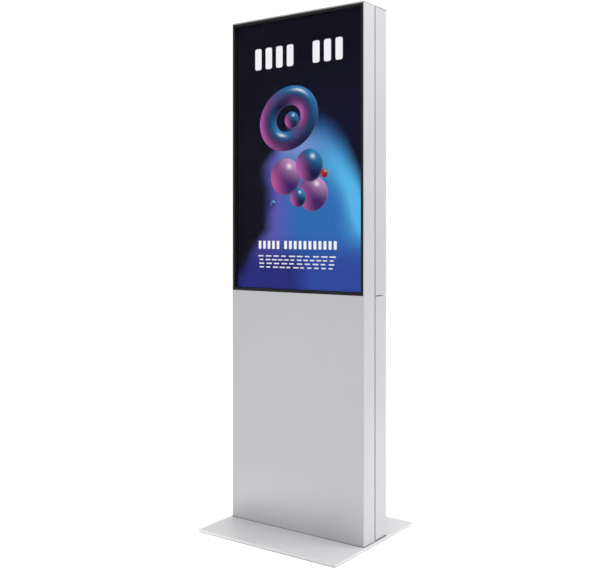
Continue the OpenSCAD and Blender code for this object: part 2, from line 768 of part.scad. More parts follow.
module fan_rotor(x) difference() {
    union() {
        rod_y(x, fan_h, fan_y + 3.6, fan_y + fan_t - 2, hub_r - 0.5);
        intersection() {
            translate([x, y_at(fan_y + fan_t / 2 + 1), z_at(fan_h)]) for (i = [0 : fan_blades - 1])
                rotate([0, i * 360 / fan_blades, 0]) translate([fan_bore / 2 + 6, 0, 0]) rotate([fan_pitch, 0, 0])
                    cube([fan_bore, 1.6, 24], center = true);
            rod_y(x, fan_h, fan_y + 4, fan_y + fan_t - 1.5, fan_bore - 1.5);
        }
    }
    rod_y(x, fan_h, fan_y + 1, fan_y + fan_t - 3.5, fan_shaft_r + run_gap);
}

module left_fan_rotor() color([0.12, 0.12, 0.13]) fan_rotor(-fan_x);
module right_fan_rotor() color([0.12, 0.12, 0.13]) fan_rotor(fan_x);

// ---- Hinges ----

third = hinge_h / 3;

// One knuckle of a hinge, with the web that joins it to its leaf
module knuckle(h0, h1, d0) {
    rod_z(barrel_x, barrel_depth, h0, h1, barrel_r);
    block(barrel_x, -half_w + 1, d0, d0 + leaf_t, h0, h1);
}

module hinge_column_leaves() color(zinc) for (h = concat(lower_hinges, upper_hinges)) difference() {
    union() {
        block(-half_w + 0.2, leaf_x, housing_d, housing_d + leaf_t, h, h + hinge_h);
        knuckle(h, h + third - knuckle_gap / 2, housing_d);
        knuckle(h + 2 * third + knuckle_gap / 2, h + hinge_h, housing_d);
    }
    rod_z(barrel_x, barrel_depth, h - 1, h + hinge_h + 1, hinge_pin_r + press_gap);
    for (s = rivet_steps)
        rod_y(leaf_x - 5, h + hinge_h / 2 + s, housing_d - 1, housing_d + leaf_t + 1, rivet_r + run_gap);
}

module door_hinge_leaves(heights) color(zinc) for (h = heights) difference() {
    union() {
        block(-half_w + 0.2, leaf_x, door_front - leaf_t, door_front, h, h + hinge_h);
        knuckle(h + third + knuckle_gap / 2, h + 2 * third - knuckle_gap / 2, door_front - leaf_t);
    }
    rod_z(barrel_x, barrel_depth, h - 1, h + hinge_h + 1, hinge_pin_r + run_gap);
}

module upper_hinge_leaves() door_hinge_leaves(upper_hinges);
module lower_hinge_leaves() door_hinge_leaves(lower_hinges);

module hinge_pins() color(zinc) for (h = concat(lower_hinges, upper_hinges))
    rod_z(barrel_x, barrel_depth, h - 0.5, h + hinge_h + 0.5, hinge_pin_r);

module hinge_column_rivets() color(zinc)
    for (h = concat(lower_hinges, upper_hinges), s = rivet_steps) {
        rod_y(leaf_x - 5, h + hinge_h / 2 + s, housing_d - housing_t - 0.5, housing_d + leaf_t - 0.1, rivet_r);
        rod_y(leaf_x - 5, h + hinge_h / 2 + s, housing_d - housing_t - 1.6, housing_d - housing_t, 3.2);
    }

// ---- Locks and strikes ----

module strike_brackets() color(zinc) for (h = lock_heights) {
    arm_x = bay_x + tube + seat;
    lip_y = cam_y + cam_t + strike_gap;
    block(arm_x, arm_x + strike_t, upright_y + 2, lip_y + strike_t, h - strike_h / 2, h + strike_h / 2);
    block(strike_x, arm_x + 1, lip_y, lip_y + strike_t, h - strike_h / 2, h + strike_h / 2);
}

module lock_body(h) color([0.75, 0.76, 0.78]) {
    difference() {
        union() {
            rod_y(lock_x, h, cam_y + cam_t + 0.3, column_d + 1, lock_r);
            rod_y(lock_x, h, column_d, column_d + 2, lock_r + 2);
        }
        rod_y(lock_x, h, cam_y, column_d + 3, plug_r + run_gap);
    }
    // nut that clamps it behind the panel
    difference() {
        rod_y(lock_x, h, column_d - door_t - seat - nut_across, column_d - door_t - seat, lock_r + 4, 6);
        rod_y(lock_x, h, column_d - door_t - nut_across - 1, column_d, lock_r + press_gap);
    }
}

// Plug with its key slot, and the cam hanging straight down while the lock is open
module lock_cam(h) color([0.60, 0.61, 0.63]) {
    difference() {
        rod_y(lock_x, h, cam_y + 0.5, column_d + 1.6, plug_r);
        block(lock_x - 1, lock_x + 1, column_d - 8, column_d + 3, h - 4.2, h + 4.2);
    }
    difference() {
        union() {
            rod_y(lock_x, h, cam_y, cam_y + cam_t, cam_w / 2 + 1.5);
            // the tip is round about the turning axis, so that its corners clear the bracket
            intersection() {
                block(lock_x - cam_w / 2, lock_x + cam_w / 2, cam_y, cam_y + cam_t, h - cam_l - 1, h);
                rod_y(lock_x, h, cam_y - 1, cam_y + cam_t + 1, cam_l);
            }
        }
        rod_y(lock_x, h, cam_y - 1, cam_y + cam_t + 1, cam_screw_r);
    }
    rod_y(lock_x, h, cam_y - 3, cam_y + 1, 5, 6);
}

module upper_lock_body() lock_body(lock_heights[1]);
module lower_lock_body() lock_body(lock_heights[0]);
module upper_lock_cam() lock_cam(lock_heights[1]);
module lower_lock_cam() lock_cam(lock_heights[0]);

// ---- Rear doors ----

module slot(x, h) {
    block(x - slot_l / 2 + slot_t / 2, x + slot_l / 2 - slot_t / 2, column_d - door_t - 1, column_d + 1,
        h - slot_t / 2, h + slot_t / 2);
    for (s = [-1, 1])
        rod_y(x + s * (slot_l - slot_t) / 2, h, column_d - door_t - 1, column_d + 1, slot_t / 2);
}

module rear_door(h0, h1, vents, lock_h) color(silver) difference() {
    union() {
        // folded pan: rear wall and two side walls, rounded at the rear corners
        translate([0, y_at(column_d), z_at(h0)]) mirror([0, 1, 0]) linear_extrude(h1 - h0)
            folded_plan(column_w, column_d - door_front, door_t, bend_r);
        // flanges at the top, the bottom and the hinge side
        for (h = [h0, h1 - door_t])
            block(-half_w + 0.8, half_w - 0.8, column_d - door_flange, column_d - 0.8, h, h + door_t);
        block(-half_w + 0.2, -half_w + hinge_flange, door_front, door_front + door_t, h0, h1);
    }
    for (vent = vents, row = [0 : vent[1] - 1], x = [-slot_x, slot_x]) slot(x, vent[0] + row * slot_step);
    rod_y(lock_x, lock_h, column_d - door_t - 1, column_d + 1, lock_r + bore_gap);
}

module upper_rear_door()
    rear_door(split_top, housing_top - 0.5, upper_vents, lock_heights[1]);

module lower_rear_door() difference() {
    rear_door(door_lift, split_bottom, lower_vents, lock_heights[0]);
    block(notch_x - notch_w / 2, notch_x + notch_w / 2, column_d - door_flange - 1, column_d + 1,
        0, door_lift + notch_h);
}

// Rubber edging that protects the cord in the mouse hole
module cable_edging() color(black) difference() {
    block(notch_x - notch_w / 2, notch_x + notch_w / 2, column_d - 6, column_d + 1.5,
        door_lift, door_lift + notch_h);
    block(notch_x - notch_w / 2 + edging_t, notch_x + notch_w / 2 - edging_t, column_d - 7, column_d + 2,
        door_lift - 1, door_lift + notch_h - edging_t);
}

// Foam filter pads, seated behind the vents
module filter(vents) color([0.15, 0.15, 0.15]) for (vent = vents, x = [-slot_x, slot_x])
    block(x - slot_l / 2 - filter_edge / 2, x + slot_l / 2 + filter_edge / 2,
        column_d - door_t - seat - filter_t, column_d - door_t - seat,
        vent[0] - filter_edge, vent[0] + (vent[1] - 1) * slot_step + filter_edge);

module upper_filter() filter(upper_vents);
module lower_filter() filter(lower_vents);

// Strips on the housing's rear flanges that close the seam
module seam_seal(h0, h1) difference() {
    pair(half_w - side_flange + 1, half_w - door_t - 1.2, housing_d, door_front - 0.4, h0, h1);
    for (h = concat(lower_hinges, upper_hinges))
        block(-half_w - 1, 0, housing_d - 1, door_front + 1, h - 1.5, h + hinge_h + 1.5);
}

module upper_seam_seal() color([0.62, 0.63, 0.64]) seam_seal(split_top + 8, housing_top - 10);
module lower_seam_seal() color(black) seam_seal(8, split_bottom - 8);

// ---- Leads inside the column ----

function unit(v) = v / norm(v);
function spline(p, i, t) = let(
        a = p[max(i - 1, 0)], b = p[i], c = p[i + 1], d = p[min(i + 2, len(p) - 1)])
    0.5 * ((2 * b) + (c - a) * t + (2 * a - 5 * b + 4 * c - d) * t * t
        + (3 * b - a - 3 * c + d) * t * t * t);
function smooth(p, steps) = concat(
    [for (i = [0 : len(p) - 2], s = [0 : steps - 1]) spline(p, i, s / steps)], [p[len(p) - 1]]);
function tangent(p, i) = unit(p[min(i + 1, len(p) - 1)] - p[max(i - 1, 0)]);
function normals(p, i = 0, n = [0.3, 0.9, 0.2]) = i == len(p) ? [] :
    let(t = tangent(p, i), m = unit(n - (n * t) * t)) concat([m], normals(p, i + 1, m));

// A lead of radius r along a smooth curve through the points
module lead(points, r, sides = 8, steps = 4) {
    p = smooth([for (q = points) [q[0], y_at(q[1]), z_at(q[2])]], steps);
    n = normals(p);
    rings = len(p);
    verts = [for (i = [0 : rings - 1], k = [0 : sides - 1])
        let(t = tangent(p, i), a = 360 * k / sides) p[i] + r * (cos(a) * n[i] + sin(a) * cross(t, n[i]))];
    sides_faces = [for (i = [0 : rings - 2], k = [0 : sides - 1])
        let(a = i * sides + k, b = i * sides + (k + 1) % sides)
        each [[a, a + sides, b + sides], [a, b + sides, b]]];
    ends = [[for (k = [0 : sides - 1]) k],
        [for (k = [0 : sides - 1]) (rings - 1) * sides + sides - 1 - k]];
    polyhedron(points = verts, faces = concat(sides_faces, ends), convexity = 6);
}

mains_route = [[-130, 84.8, 34], [-130, 79, 34], [-146, 72, 46], [-188, 72, 90], [-213, 74, 140],
    [-218, 74, 190], [-216, 74, 236], [-198, 74, 268], [-174, 74, 290], [-166, 73, 308], [-154, 69, 322],
    [-138, 66, 322], [-125.4, 66, 322]];
display_route = [[80, 66, 366], [80, 66, 378], [92, 70, 396], [140, 74, 424], [200, 76, 474], [218, 76, 560],
    [218, 76, 640], [218, 76, 720], [218, 76, 800], [214, 76, 900], [204, 77, 990], [176, 78, 1056],
    [128, 79, 1096], [98, 73, 1112], [84, 58, 1124], [77, 46, 1140], [75, 42, 1158], [75, 42, 1174]];
picture_route = [[-60, 84, 939.2], [-60, 84, 928], [-76, 84, 908], [-118, 83, 908], [-140, 82, 950],
    [-144, 81, 1020], [-138, 80, 1080], [-116, 78, 1106], [-95, 71, 1117], [-83, 57, 1128],
    [-77, 46, 1144], [-76, 42, 1160], [-76, 42, 1174]];

// The display and the player stand at route_height; where they stand higher or lower, the leads follow them,
// and the stretch from the shelf up to them takes up the difference
route_height = 828;
route_low = 474;
route_high = 900;
rise = display_bottom - route_height;
function lifted(h) = h + rise * max(0, min(1, (h - route_low) / (route_high - route_low)));
function lifted_all(route) = [for (p = route) [p[0], p[1], lifted(p[2])]];

module mains_lead() color(black) lead(mains_route, 3.6);
module display_lead() color(black) lead(lifted_all(display_route), 3.6);
module picture_lead() color(black) lead(lifted_all(picture_route), 3);

// Saddles that hold the leads to the frame
clip_places = lifted_all([[-218, 74, 194], [218, 76, 660], [218, 76, 760]]);
module cable_clips() color([0.85, 0.85, 0.85]) for (p = clip_places) {
    side = p[0] < 0 ? -1 : 1;
    difference() {
        union() {
            rod_z(p[0], p[1], p[2] - 5, p[2] + 5, 5.4);
            block(min(p[0], side * (bay_x - seat)), max(p[0], side * (bay_x - seat)), p[1] - 9.8, p[1] - 3,
                p[2] - 5, p[2] + 5);
        }
        rod_z(p[0], p[1], p[2] - 6, p[2] + 6, 4.2);
    }
}

base_plate();
base_pads();
column_foot();
foot_bolts();
foot_nuts();
frame_uprights();
frame_cross_rails();
front_housing();
housing_clips();
panel_stiffeners();
top_cap();
top_cap_gasket();
top_cap_screws();
touch_frame();
touch_sensor_boards();
touch_glass();
screen_cell();
panel_bezel();
diffuser_plate();
led_bars();
panel_chassis();
display_hook_rails();
display_mount_screws();
driver_board();
power_board();
electronics_cover();
speakers();
player_plate();
media_player();
player_button();
equipment_shelf();
socket_block();
inlet_bracket();
mains_inlet();
main_switch();
fan_plate();
fan_frames();
left_fan_rotor();
right_fan_rotor();
hinge_column_leaves();
hinge_pins();
hinge_column_rivets();
strike_brackets();
upper_seam_seal();
lower_seam_seal();
mains_lead();
display_lead();
picture_lead();
cable_clips();
upper_rear_door();
upper_hinge_leaves();
upper_filter();
upper_lock_body();
upper_lock_cam();
lower_rear_door();
lower_hinge_leaves();
lower_filter();
lower_lock_body();
lower_lock_cam();
cable_edging();
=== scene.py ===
"""Builds the looks of a free-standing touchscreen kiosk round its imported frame.

Every piece stands in the frame's own coordinates: metres, +Z up, the screen facing -Y.
"""

from __future__ import annotations

import json
import logging
import math
import random
from dataclasses import dataclass, field
from enum import Enum
from typing import Any, Iterable, Sequence

import bmesh
import bpy
from mathutils import Matrix, Vector


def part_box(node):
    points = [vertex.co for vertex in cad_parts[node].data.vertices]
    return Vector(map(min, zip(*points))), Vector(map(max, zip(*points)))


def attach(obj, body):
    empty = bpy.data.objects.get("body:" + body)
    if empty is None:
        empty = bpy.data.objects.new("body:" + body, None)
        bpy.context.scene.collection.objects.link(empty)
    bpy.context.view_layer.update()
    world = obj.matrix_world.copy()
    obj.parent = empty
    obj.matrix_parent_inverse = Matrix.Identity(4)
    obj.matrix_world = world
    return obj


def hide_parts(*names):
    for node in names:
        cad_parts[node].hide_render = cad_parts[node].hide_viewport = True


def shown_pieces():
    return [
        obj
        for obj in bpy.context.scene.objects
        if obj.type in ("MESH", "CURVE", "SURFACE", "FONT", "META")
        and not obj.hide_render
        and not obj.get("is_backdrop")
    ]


LOG = logging.getLogger("kiosk")
MM = 0.001
# dark margin of the screen cell round the lit picture
CELL_MARGIN = 5.5 * MM

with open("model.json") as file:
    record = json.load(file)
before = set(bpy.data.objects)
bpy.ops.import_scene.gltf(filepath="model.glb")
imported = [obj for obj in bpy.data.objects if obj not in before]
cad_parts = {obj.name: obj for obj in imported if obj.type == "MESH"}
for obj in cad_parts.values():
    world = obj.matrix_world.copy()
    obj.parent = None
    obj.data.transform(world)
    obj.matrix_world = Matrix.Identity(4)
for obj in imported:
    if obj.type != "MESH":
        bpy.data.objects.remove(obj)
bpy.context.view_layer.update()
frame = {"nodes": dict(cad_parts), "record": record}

Triple = tuple[float, float, float]


# ---------------------------------------------------------------- shader maths


class Sock:
    """An output socket that can be used in arithmetic."""

    def __init__(self, sheet: "Sheet", socket: bpy.types.NodeSocket) -> None:
        """Keeps the node sheet and the socket on it."""
        self.sheet = sheet
        self.socket = socket

    def _math(self, operation: str, *values: Any) -> "Sock":
        """One Math node on the given values, in order."""
        node = self.sheet.node("ShaderNodeMath", {"operation": operation}, *values)
        return Sock(self.sheet, node.outputs[0])

    def __add__(self, other: Any) -> "Sock":
        """Sum."""
        return self._math("ADD", self, other)

    __radd__ = __add__

    def __sub__(self, other: Any) -> "Sock":
        """Difference."""
        return self._math("SUBTRACT", self, other)

    def __rsub__(self, other: Any) -> "Sock":
        """Difference, the other way round."""
        return self._math("SUBTRACT", other, self)

    def __mul__(self, other: Any) -> "Sock":
        """Product."""
        return self._math("MULTIPLY", self, other)

    __rmul__ = __mul__

    def __truediv__(self, other: Any) -> "Sock":
        """Quotient."""
        return self._math("DIVIDE", self, other)

    def __rtruediv__(self, other: Any) -> "Sock":
        """Quotient, the other way round."""
        return self._math("DIVIDE", other, self)

    def __pow__(self, other: Any) -> "Sock":
        """Power."""
        return self._math("POWER", self, other)

    def __neg__(self) -> "Sock":
        """Opposite."""
        return self._math("MULTIPLY", self, -1.0)

    def abs(self) -> "Sock":
        """Absolute value."""
        return self._math("ABSOLUTE", self)

    def sqrt(self) -> "Sock":
        """Square root."""
        return self._math("SQRT", self)

    def exp(self) -> "Sock":
        """Natural exponential."""
        return self._math("EXPONENT", self)

    def sin(self) -> "Sock":
        """Sine."""
        return self._math("SINE", self)

    def fract(self) -> "Sock":
        """Fractional part."""
        return self._math("FRACT", self)

    def floor(self) -> "Sock":
        """Whole part."""
        return self._math("FLOOR", self)

    def most(self, other: Any) -> "Sock":
        """The larger of the two."""
        return self._math("MAXIMUM", self, other)

    def least(self, other: Any) -> "Sock":
        """The smaller of the two."""
        return self._math("MINIMUM", self, other)

    def ramp(self, low: float, high: float, smooth: bool = True) -> "Sock":
        """Goes from 0 at low to 1 at high, and stays within 0 and 1.

        Args:
            low: the value that gives 0.
            high: the value that gives 1; it may be below low.
            smooth: whether the ends are eased.

        Returns:
            The eased value.
        """
        kind = "SMOOTHSTEP" if smooth else "LINEAR"
        flipped = high < low
        bottom, top = (high, low) if flipped else (low, high)
        node = self.sheet.node(
            "ShaderNodeMapRange", {"interpolation_type": kind}, self, bottom, top, 0.0, 1.0,
        )
        value = Sock(self.sheet, node.outputs[0])
        return 1.0 - value if flipped else value


class Sheet:
    """A material's nodes, with one method that makes any of them."""

    def __init__(self, name: str) -> None:
        """Makes an empty material of that name."""
        self.material = bpy.data.materials.new(name)
        self.material.use_nodes = True
        self.tree = self.material.node_tree
        self.tree.nodes.clear()

    def node(
        self, kind: str, settings: dict[str, Any] | None = None, *values: Any, **named: Any,
    ) -> bpy.types.Node:
        """Makes a node.

        Args:
            kind: the node's type.
            settings: its properties, set before its sockets; "stops" fills a ramp.
            *values: values or links for its inputs, in order; None leaves one alone.
            **named: values or links by socket name, with _ for a space.

        Returns:
            The node.
        """
        made = self.tree.nodes.new(kind)
        for key, value in (settings or {}).items():
            if key == "stops":
                self._fill_ramp(made.color_ramp, value)
            else:
                setattr(made, key, value)
        pairs = [(made.inputs[i], v) for i, v in enumerate(values)]
        pairs += [(made.inputs[k.replace("_", " ")], v) for k, v in named.items()]
        for socket, value in pairs:
            if value is None:
                continue
            if isinstance(value, Sock):
                self.tree.links.new(value.socket, socket)
            elif hasattr(socket.default_value, "__len__") and len(socket.default_value) == 4:
                socket.default_value = (*value[:3], 1.0)
            else:
                socket.default_value = value
        return made

    @staticmethod
    def _fill_ramp(ramp: bpy.types.ColorRamp, stops: Sequence[tuple[float, Triple]]) -> None:
        """Sets a colour ramp's stops from (place, colour) pairs."""
        while len(ramp.elements) < len(stops):
            ramp.elements.new(0.5)
        for element, (place, colour) in zip(ramp.elements, stops):
            element.position = place
            element.color = (*colour, 1.0)

    def out(
        self, kind: str, settings: dict[str, Any] | None, output: int | str, *values: Any, **named: Any,
    ) -> Sock:
        """One output of a new node, as a socket for arithmetic."""
        return Sock(self, self.node(kind, settings, *values, **named).outputs[output])

    def place(self) -> Sock:
        """The piece's own coordinates, which are the frame's."""
        return self.out("ShaderNodeTexCoord", None, "Object")

    def axes(self) -> tuple[Sock, Sock, Sock]:
        """The piece's own x, y and z, in metres."""
        split = self.node("ShaderNodeSeparateXYZ", None, self.place())
        return tuple(Sock(self, split.outputs[i]) for i in range(3))

    def stretched(self, scale: Triple) -> Sock:
        """The piece's own coordinates, scaled along each axis."""
        return self.out("ShaderNodeMapping", None, 0, self.place(), None, None, scale)

    def noise(
        self, scale: float, detail: float = 3.0, stretch: Triple | None = None, rough: float = 0.55,
    ) -> Sock:
        """A noise value from 0 to 1.

        Args:
            scale: how many features there are to a metre.
            detail: how many finer layers it has.
            stretch: scale along each axis, for streaks.
            rough: how strong the finer layers are.

        Returns:
            The value.
        """
        where = self.stretched(stretch) if stretch else self.place()
        return self.out(
            "ShaderNodeTexNoise", None, "Fac", Vector=where, Scale=scale, Detail=detail, Roughness=rough,
        )

    def mix(self, low: Any, high: Any, factor: Any) -> Sock:
        """A colour between two colours."""
        node = self.tree.nodes.new("ShaderNodeMix")
        node.data_type = "RGBA"
        for index, value in ((0, factor), (6, low), (7, high)):
            if isinstance(value, Sock):
                self.tree.links.new(value.socket, node.inputs[index])
            elif index == 0:
                node.inputs[0].default_value = value
            else:
                node.inputs[index].default_value = (*value, 1.0)
        return Sock(self, node.outputs[2])

    def bump(self, height: Sock, depth: float, strength: float = 1.0) -> Sock:
        """A normal that is bumped by a height from 0 to 1, whose full height is depth metres."""
        return self.out("ShaderNodeBump", None, 0, Strength=strength, Distance=depth, Height=height)

    def finish(self, **sockets: Any) -> bpy.types.Material:
        """Ends the material with a Principled shader.

        Args:
            **sockets: values or links by socket name, with _ for a space.

        Returns:
            The material.
        """
        shader = self.node("ShaderNodeBsdfPrincipled", None, **sockets)
        output = self.node("ShaderNodeOutputMaterial")
        self.tree.links.new(shader.outputs[0], output.inputs[0])
        return self.material


def srgb(red: float, green: float, blue: float) -> Triple:
    """A colour given as 0 to 255 on screen, as the linear colour that shaders use."""

    def linear(value: float) -> float:
        """One channel."""
        v = value / 255.0
        return v / 12.92 if v <= 0.04045 else ((v + 0.055) / 1.055) ** 2.4

    return (linear(red), linear(green), linear(blue))


# ---------------------------------------------------------------- finishes


@dataclass(frozen=True)
class PowderCoat:
    """Fine-texture powder coat on sheet steel.

    Attributes:
        name: the material's name.
        colour: the coat's linear colour.
        metal: how metallic the silver flakes make it.
        rough: its mean roughness.
        grain: depth of the fine texture, in metres.
        shine: strength of the dielectric reflection.
    """

    name: str
    colour: Triple
    metal: float = 0.25
    rough: float = 0.42
    grain: float = 0.00006
    shine: float = 0.5

    def build(self) -> bpy.types.Material:
        """Makes the material."""
        sheet = Sheet(self.name)
        fine = sheet.noise(1500.0, 2.0)
        peel = sheet.noise(260.0, 3.0)
        cloud = sheet.noise(3.5, 4.0, rough=0.6)
        streak = sheet.noise(1.0, 3.0, (38.0, 38.0, 0.7))
        dust = sheet.noise(60.0, 6.0, rough=0.7).ramp(0.62, 0.80)
        dark = tuple(c * 0.975 for c in self.colour)
        light = tuple(min(1.0, c * 1.02) for c in self.colour)
        tone = sheet.mix(dark, light, (cloud * 0.85 + streak * 0.15).ramp(0.30, 0.70))
        tone = sheet.mix(tone, tuple(c * 0.92 for c in self.colour), dust * 0.2)
        # Lighter on sharp edges: a painted highlight where the edges catch the light, with some edge wear.
        edge = sheet.out("ShaderNodeNewGeometry", None, "Pointiness").ramp(0.54, 0.62)
        tone = sheet.mix(tone, tuple(min(1.0, c * 1.15) for c in self.colour), edge * 0.5)
        rough = self.rough + (fine - 0.5) * 0.14 + (cloud - 0.5) * 0.10 + dust * 0.08
        normal = sheet.bump(fine * 0.7 + peel * 0.5, self.grain)
        return sheet.finish(
            Base_Color=tone, Roughness=rough, Metallic=self.metal, Normal=normal,
            Specular_IOR_Level=self.shine
        )


class Grain(Enum):
    """Which way a metal's brush marks run."""

    UPRIGHT = (140.0, 140.0, 2.0)
    ACROSS = (2.0, 140.0, 140.0)
    NONE = (18.0, 18.0, 18.0)


@dataclass(frozen=True)
class PlatedSteel:
    """Bare or plated metal with faint brush marks and a spangle.

    Attributes:
        name: the material's name.
        colour: the metal's linear colour.
        rough: its mean roughness.
        grain: which way its brush marks run.
        metal: how metallic it is.
        spangle: strength of the crystal pattern of zinc.
    """

    name: str
    colour: Triple
    rough: float = 0.32
    grain: Grain = Grain.NONE
    metal: float = 1.0
    spangle: float = 0.0

    def build(self) -> bpy.types.Material:
        """Makes the material."""
        sheet = Sheet(self.name)
        brush = sheet.noise(9.0, 3.0, self.grain.value)
        cloud = sheet.noise(14.0, 4.0)
        flake = sheet.out(
            "ShaderNodeTexVoronoi", {"feature": "F1"}, "Color", Vector=sheet.place(), Scale=85.0,
        )
        flake_value = sheet.out("ShaderNodeSeparateColor", None, 0, flake)
        shade = (brush * 0.5 + cloud * 0.5).ramp(0.25, 0.75)
        tone = sheet.mix(tuple(c * 0.86 for c in self.colour),
            tuple(min(1.0, c * 1.06) for c in self.colour), shade)
        tone = sheet.mix(tone, tuple(c * 0.72 for c in self.colour), flake_value * self.spangle)
        rough = self.rough + (brush - 0.5) * 0.16 + flake_value * self.spangle * 0.25
        normal = sheet.bump(brush, 0.00002)
        return sheet.finish(Base_Color=tone, Roughness=rough, Metallic=self.metal, Normal=normal)


@dataclass(frozen=True)
class Moulded:
    """Moulded plastic or rubber, with a sparked grain.

    Attributes:
        name: the material's name.
        colour: its linear colour.
        rough: its mean roughness.
        grain: features of its grain to a metre.
        depth: depth of the grain, in metres.
        coat: clear coat on top.
    """

    name: str
    colour: Triple
    rough: float = 0.5
    grain: float = 900.0
    depth: float = 0.00005
    coat: float = 0.0

    def build(self) -> bpy.types.Material:
        """Makes the material."""
        sheet = Sheet(self.name)
        spark = sheet.noise(self.grain, 2.0)
        cloud = sheet.noise(22.0, 4.0)
        dust = sheet.noise(120.0, 5.0, rough=0.7).ramp(0.58, 0.82)
        tone = sheet.mix(tuple(c * 0.82 for c in self.colour),
            tuple(min(1.0, c * 1.12) for c in self.colour), cloud)
        tone = sheet.mix(tone, tuple(min(1.0, c + 0.045) for c in self.colour), dust * 0.35)
        rough = self.rough + (spark - 0.5) * 0.16 + dust * 0.12
        normal = sheet.bump(spark, self.depth)
        return sheet.finish(
            Base_Color=tone, Roughness=rough, Normal=normal, Coat_Weight=self.coat, Coat_Roughness=0.08,
        )


@dataclass(frozen=True)
class CircuitBoard:
    """Solder-masked board with traces and pads."""

    name: str
    colour: Triple

    def build(self) -> bpy.types.Material:
        """Makes the material."""
        sheet = Sheet(self.name)
        x, _, z = sheet.axes()
        warp = sheet.noise(28.0, 1.0) * 0.012
        lines_x = ((x + warp) * 420.0).fract().ramp(0.42, 0.50) * ((x + warp) * 420.0).fract().ramp(0.80,
            0.72)
        lines_z = ((z + warp) * 380.0).fract().ramp(0.42, 0.50) * ((z + warp) * 380.0).fract().ramp(0.80,
            0.72)
        zone = sheet.noise(40.0, 1.0).ramp(0.46, 0.54)
        trace = lines_x * zone + lines_z * (1.0 - zone)
        dot = sheet.out(
            "ShaderNodeTexVoronoi", {"feature": "F1"}, "Distance", Vector=sheet.place(), Scale=230.0,
        )
        pad = dot.ramp(0.20, 0.14)
        light = tuple(c * 1.9 for c in self.colour)
        tone = sheet.mix(self.colour, light, trace * 0.8)
        tone = sheet.mix(tone, (0.62, 0.60, 0.52), pad * 0.9)
        normal = sheet.bump(trace * 0.5 + pad, 0.00008)
        return sheet.finish(Base_Color=tone, Roughness=0.30 + trace * 0.10, Metallic=pad * 0.8, Normal=normal)


@dataclass(frozen=True)
class Foam:
    """Open-cell filter foam."""

    name: str
    colour: Triple

    def build(self) -> bpy.types.Material:
        """Makes the material."""
        sheet = Sheet(self.name)
        cell = sheet.out(
            "ShaderNodeTexVoronoi", {"feature": "F1"}, "Distance", Vector=sheet.place(), Scale=520.0,
        )
        # Dark round the middles of the cells: painted shade in the foam's pores.
        tone = sheet.mix(tuple(c * 0.3 for c in self.colour), tuple(c * 1.5 for c in self.colour),
            cell.ramp(0.1, 0.7))
        return sheet.finish(Base_Color=tone, Roughness=0.9 + cell * 0.05, Normal=sheet.bump(cell, 0.0006))


@dataclass(frozen=True)
class ClearGlass:
    """Toughened glass in front of the screen, with the faintest smears."""

    name: str

    def build(self) -> bpy.types.Material:
        """Makes the material."""
        sheet = Sheet(self.name)
        smear = sheet.noise(5.0, 5.0, (1.0, 1.0, 0.5)).ramp(0.52, 0.75)
        print_spots = sheet.noise(42.0, 3.0).ramp(0.66, 0.74)
        rough = 0.03 + smear * 0.05 + print_spots * 0.05
        tone = sheet.mix((0.008, 0.008, 0.010), (0.05, 0.055, 0.06), smear * 0.5)
        alpha = 0.028 + smear * 0.012 + print_spots * 0.01
        return sheet.finish(Base_Color=tone, Roughness=rough, Alpha=alpha, Specular_IOR_Level=0.25)


@dataclass(frozen=True)
class Lamp:
    """A small lit mark, such as a power light."""

    name: str
    colour: Triple
    strength: float

    def build(self) -> bpy.types.Material:
        """Makes the material."""
        sheet = Sheet(self.name)
        glow = sheet.noise(900.0, 1.0)
        tone = sheet.mix(self.colour, tuple(min(1.0, c * 1.3) for c in self.colour), glow)
        return sheet.finish(
            Base_Color=self.colour, Roughness=0.3, Emission_Color=tone, Emission_Strength=self.strength
        )


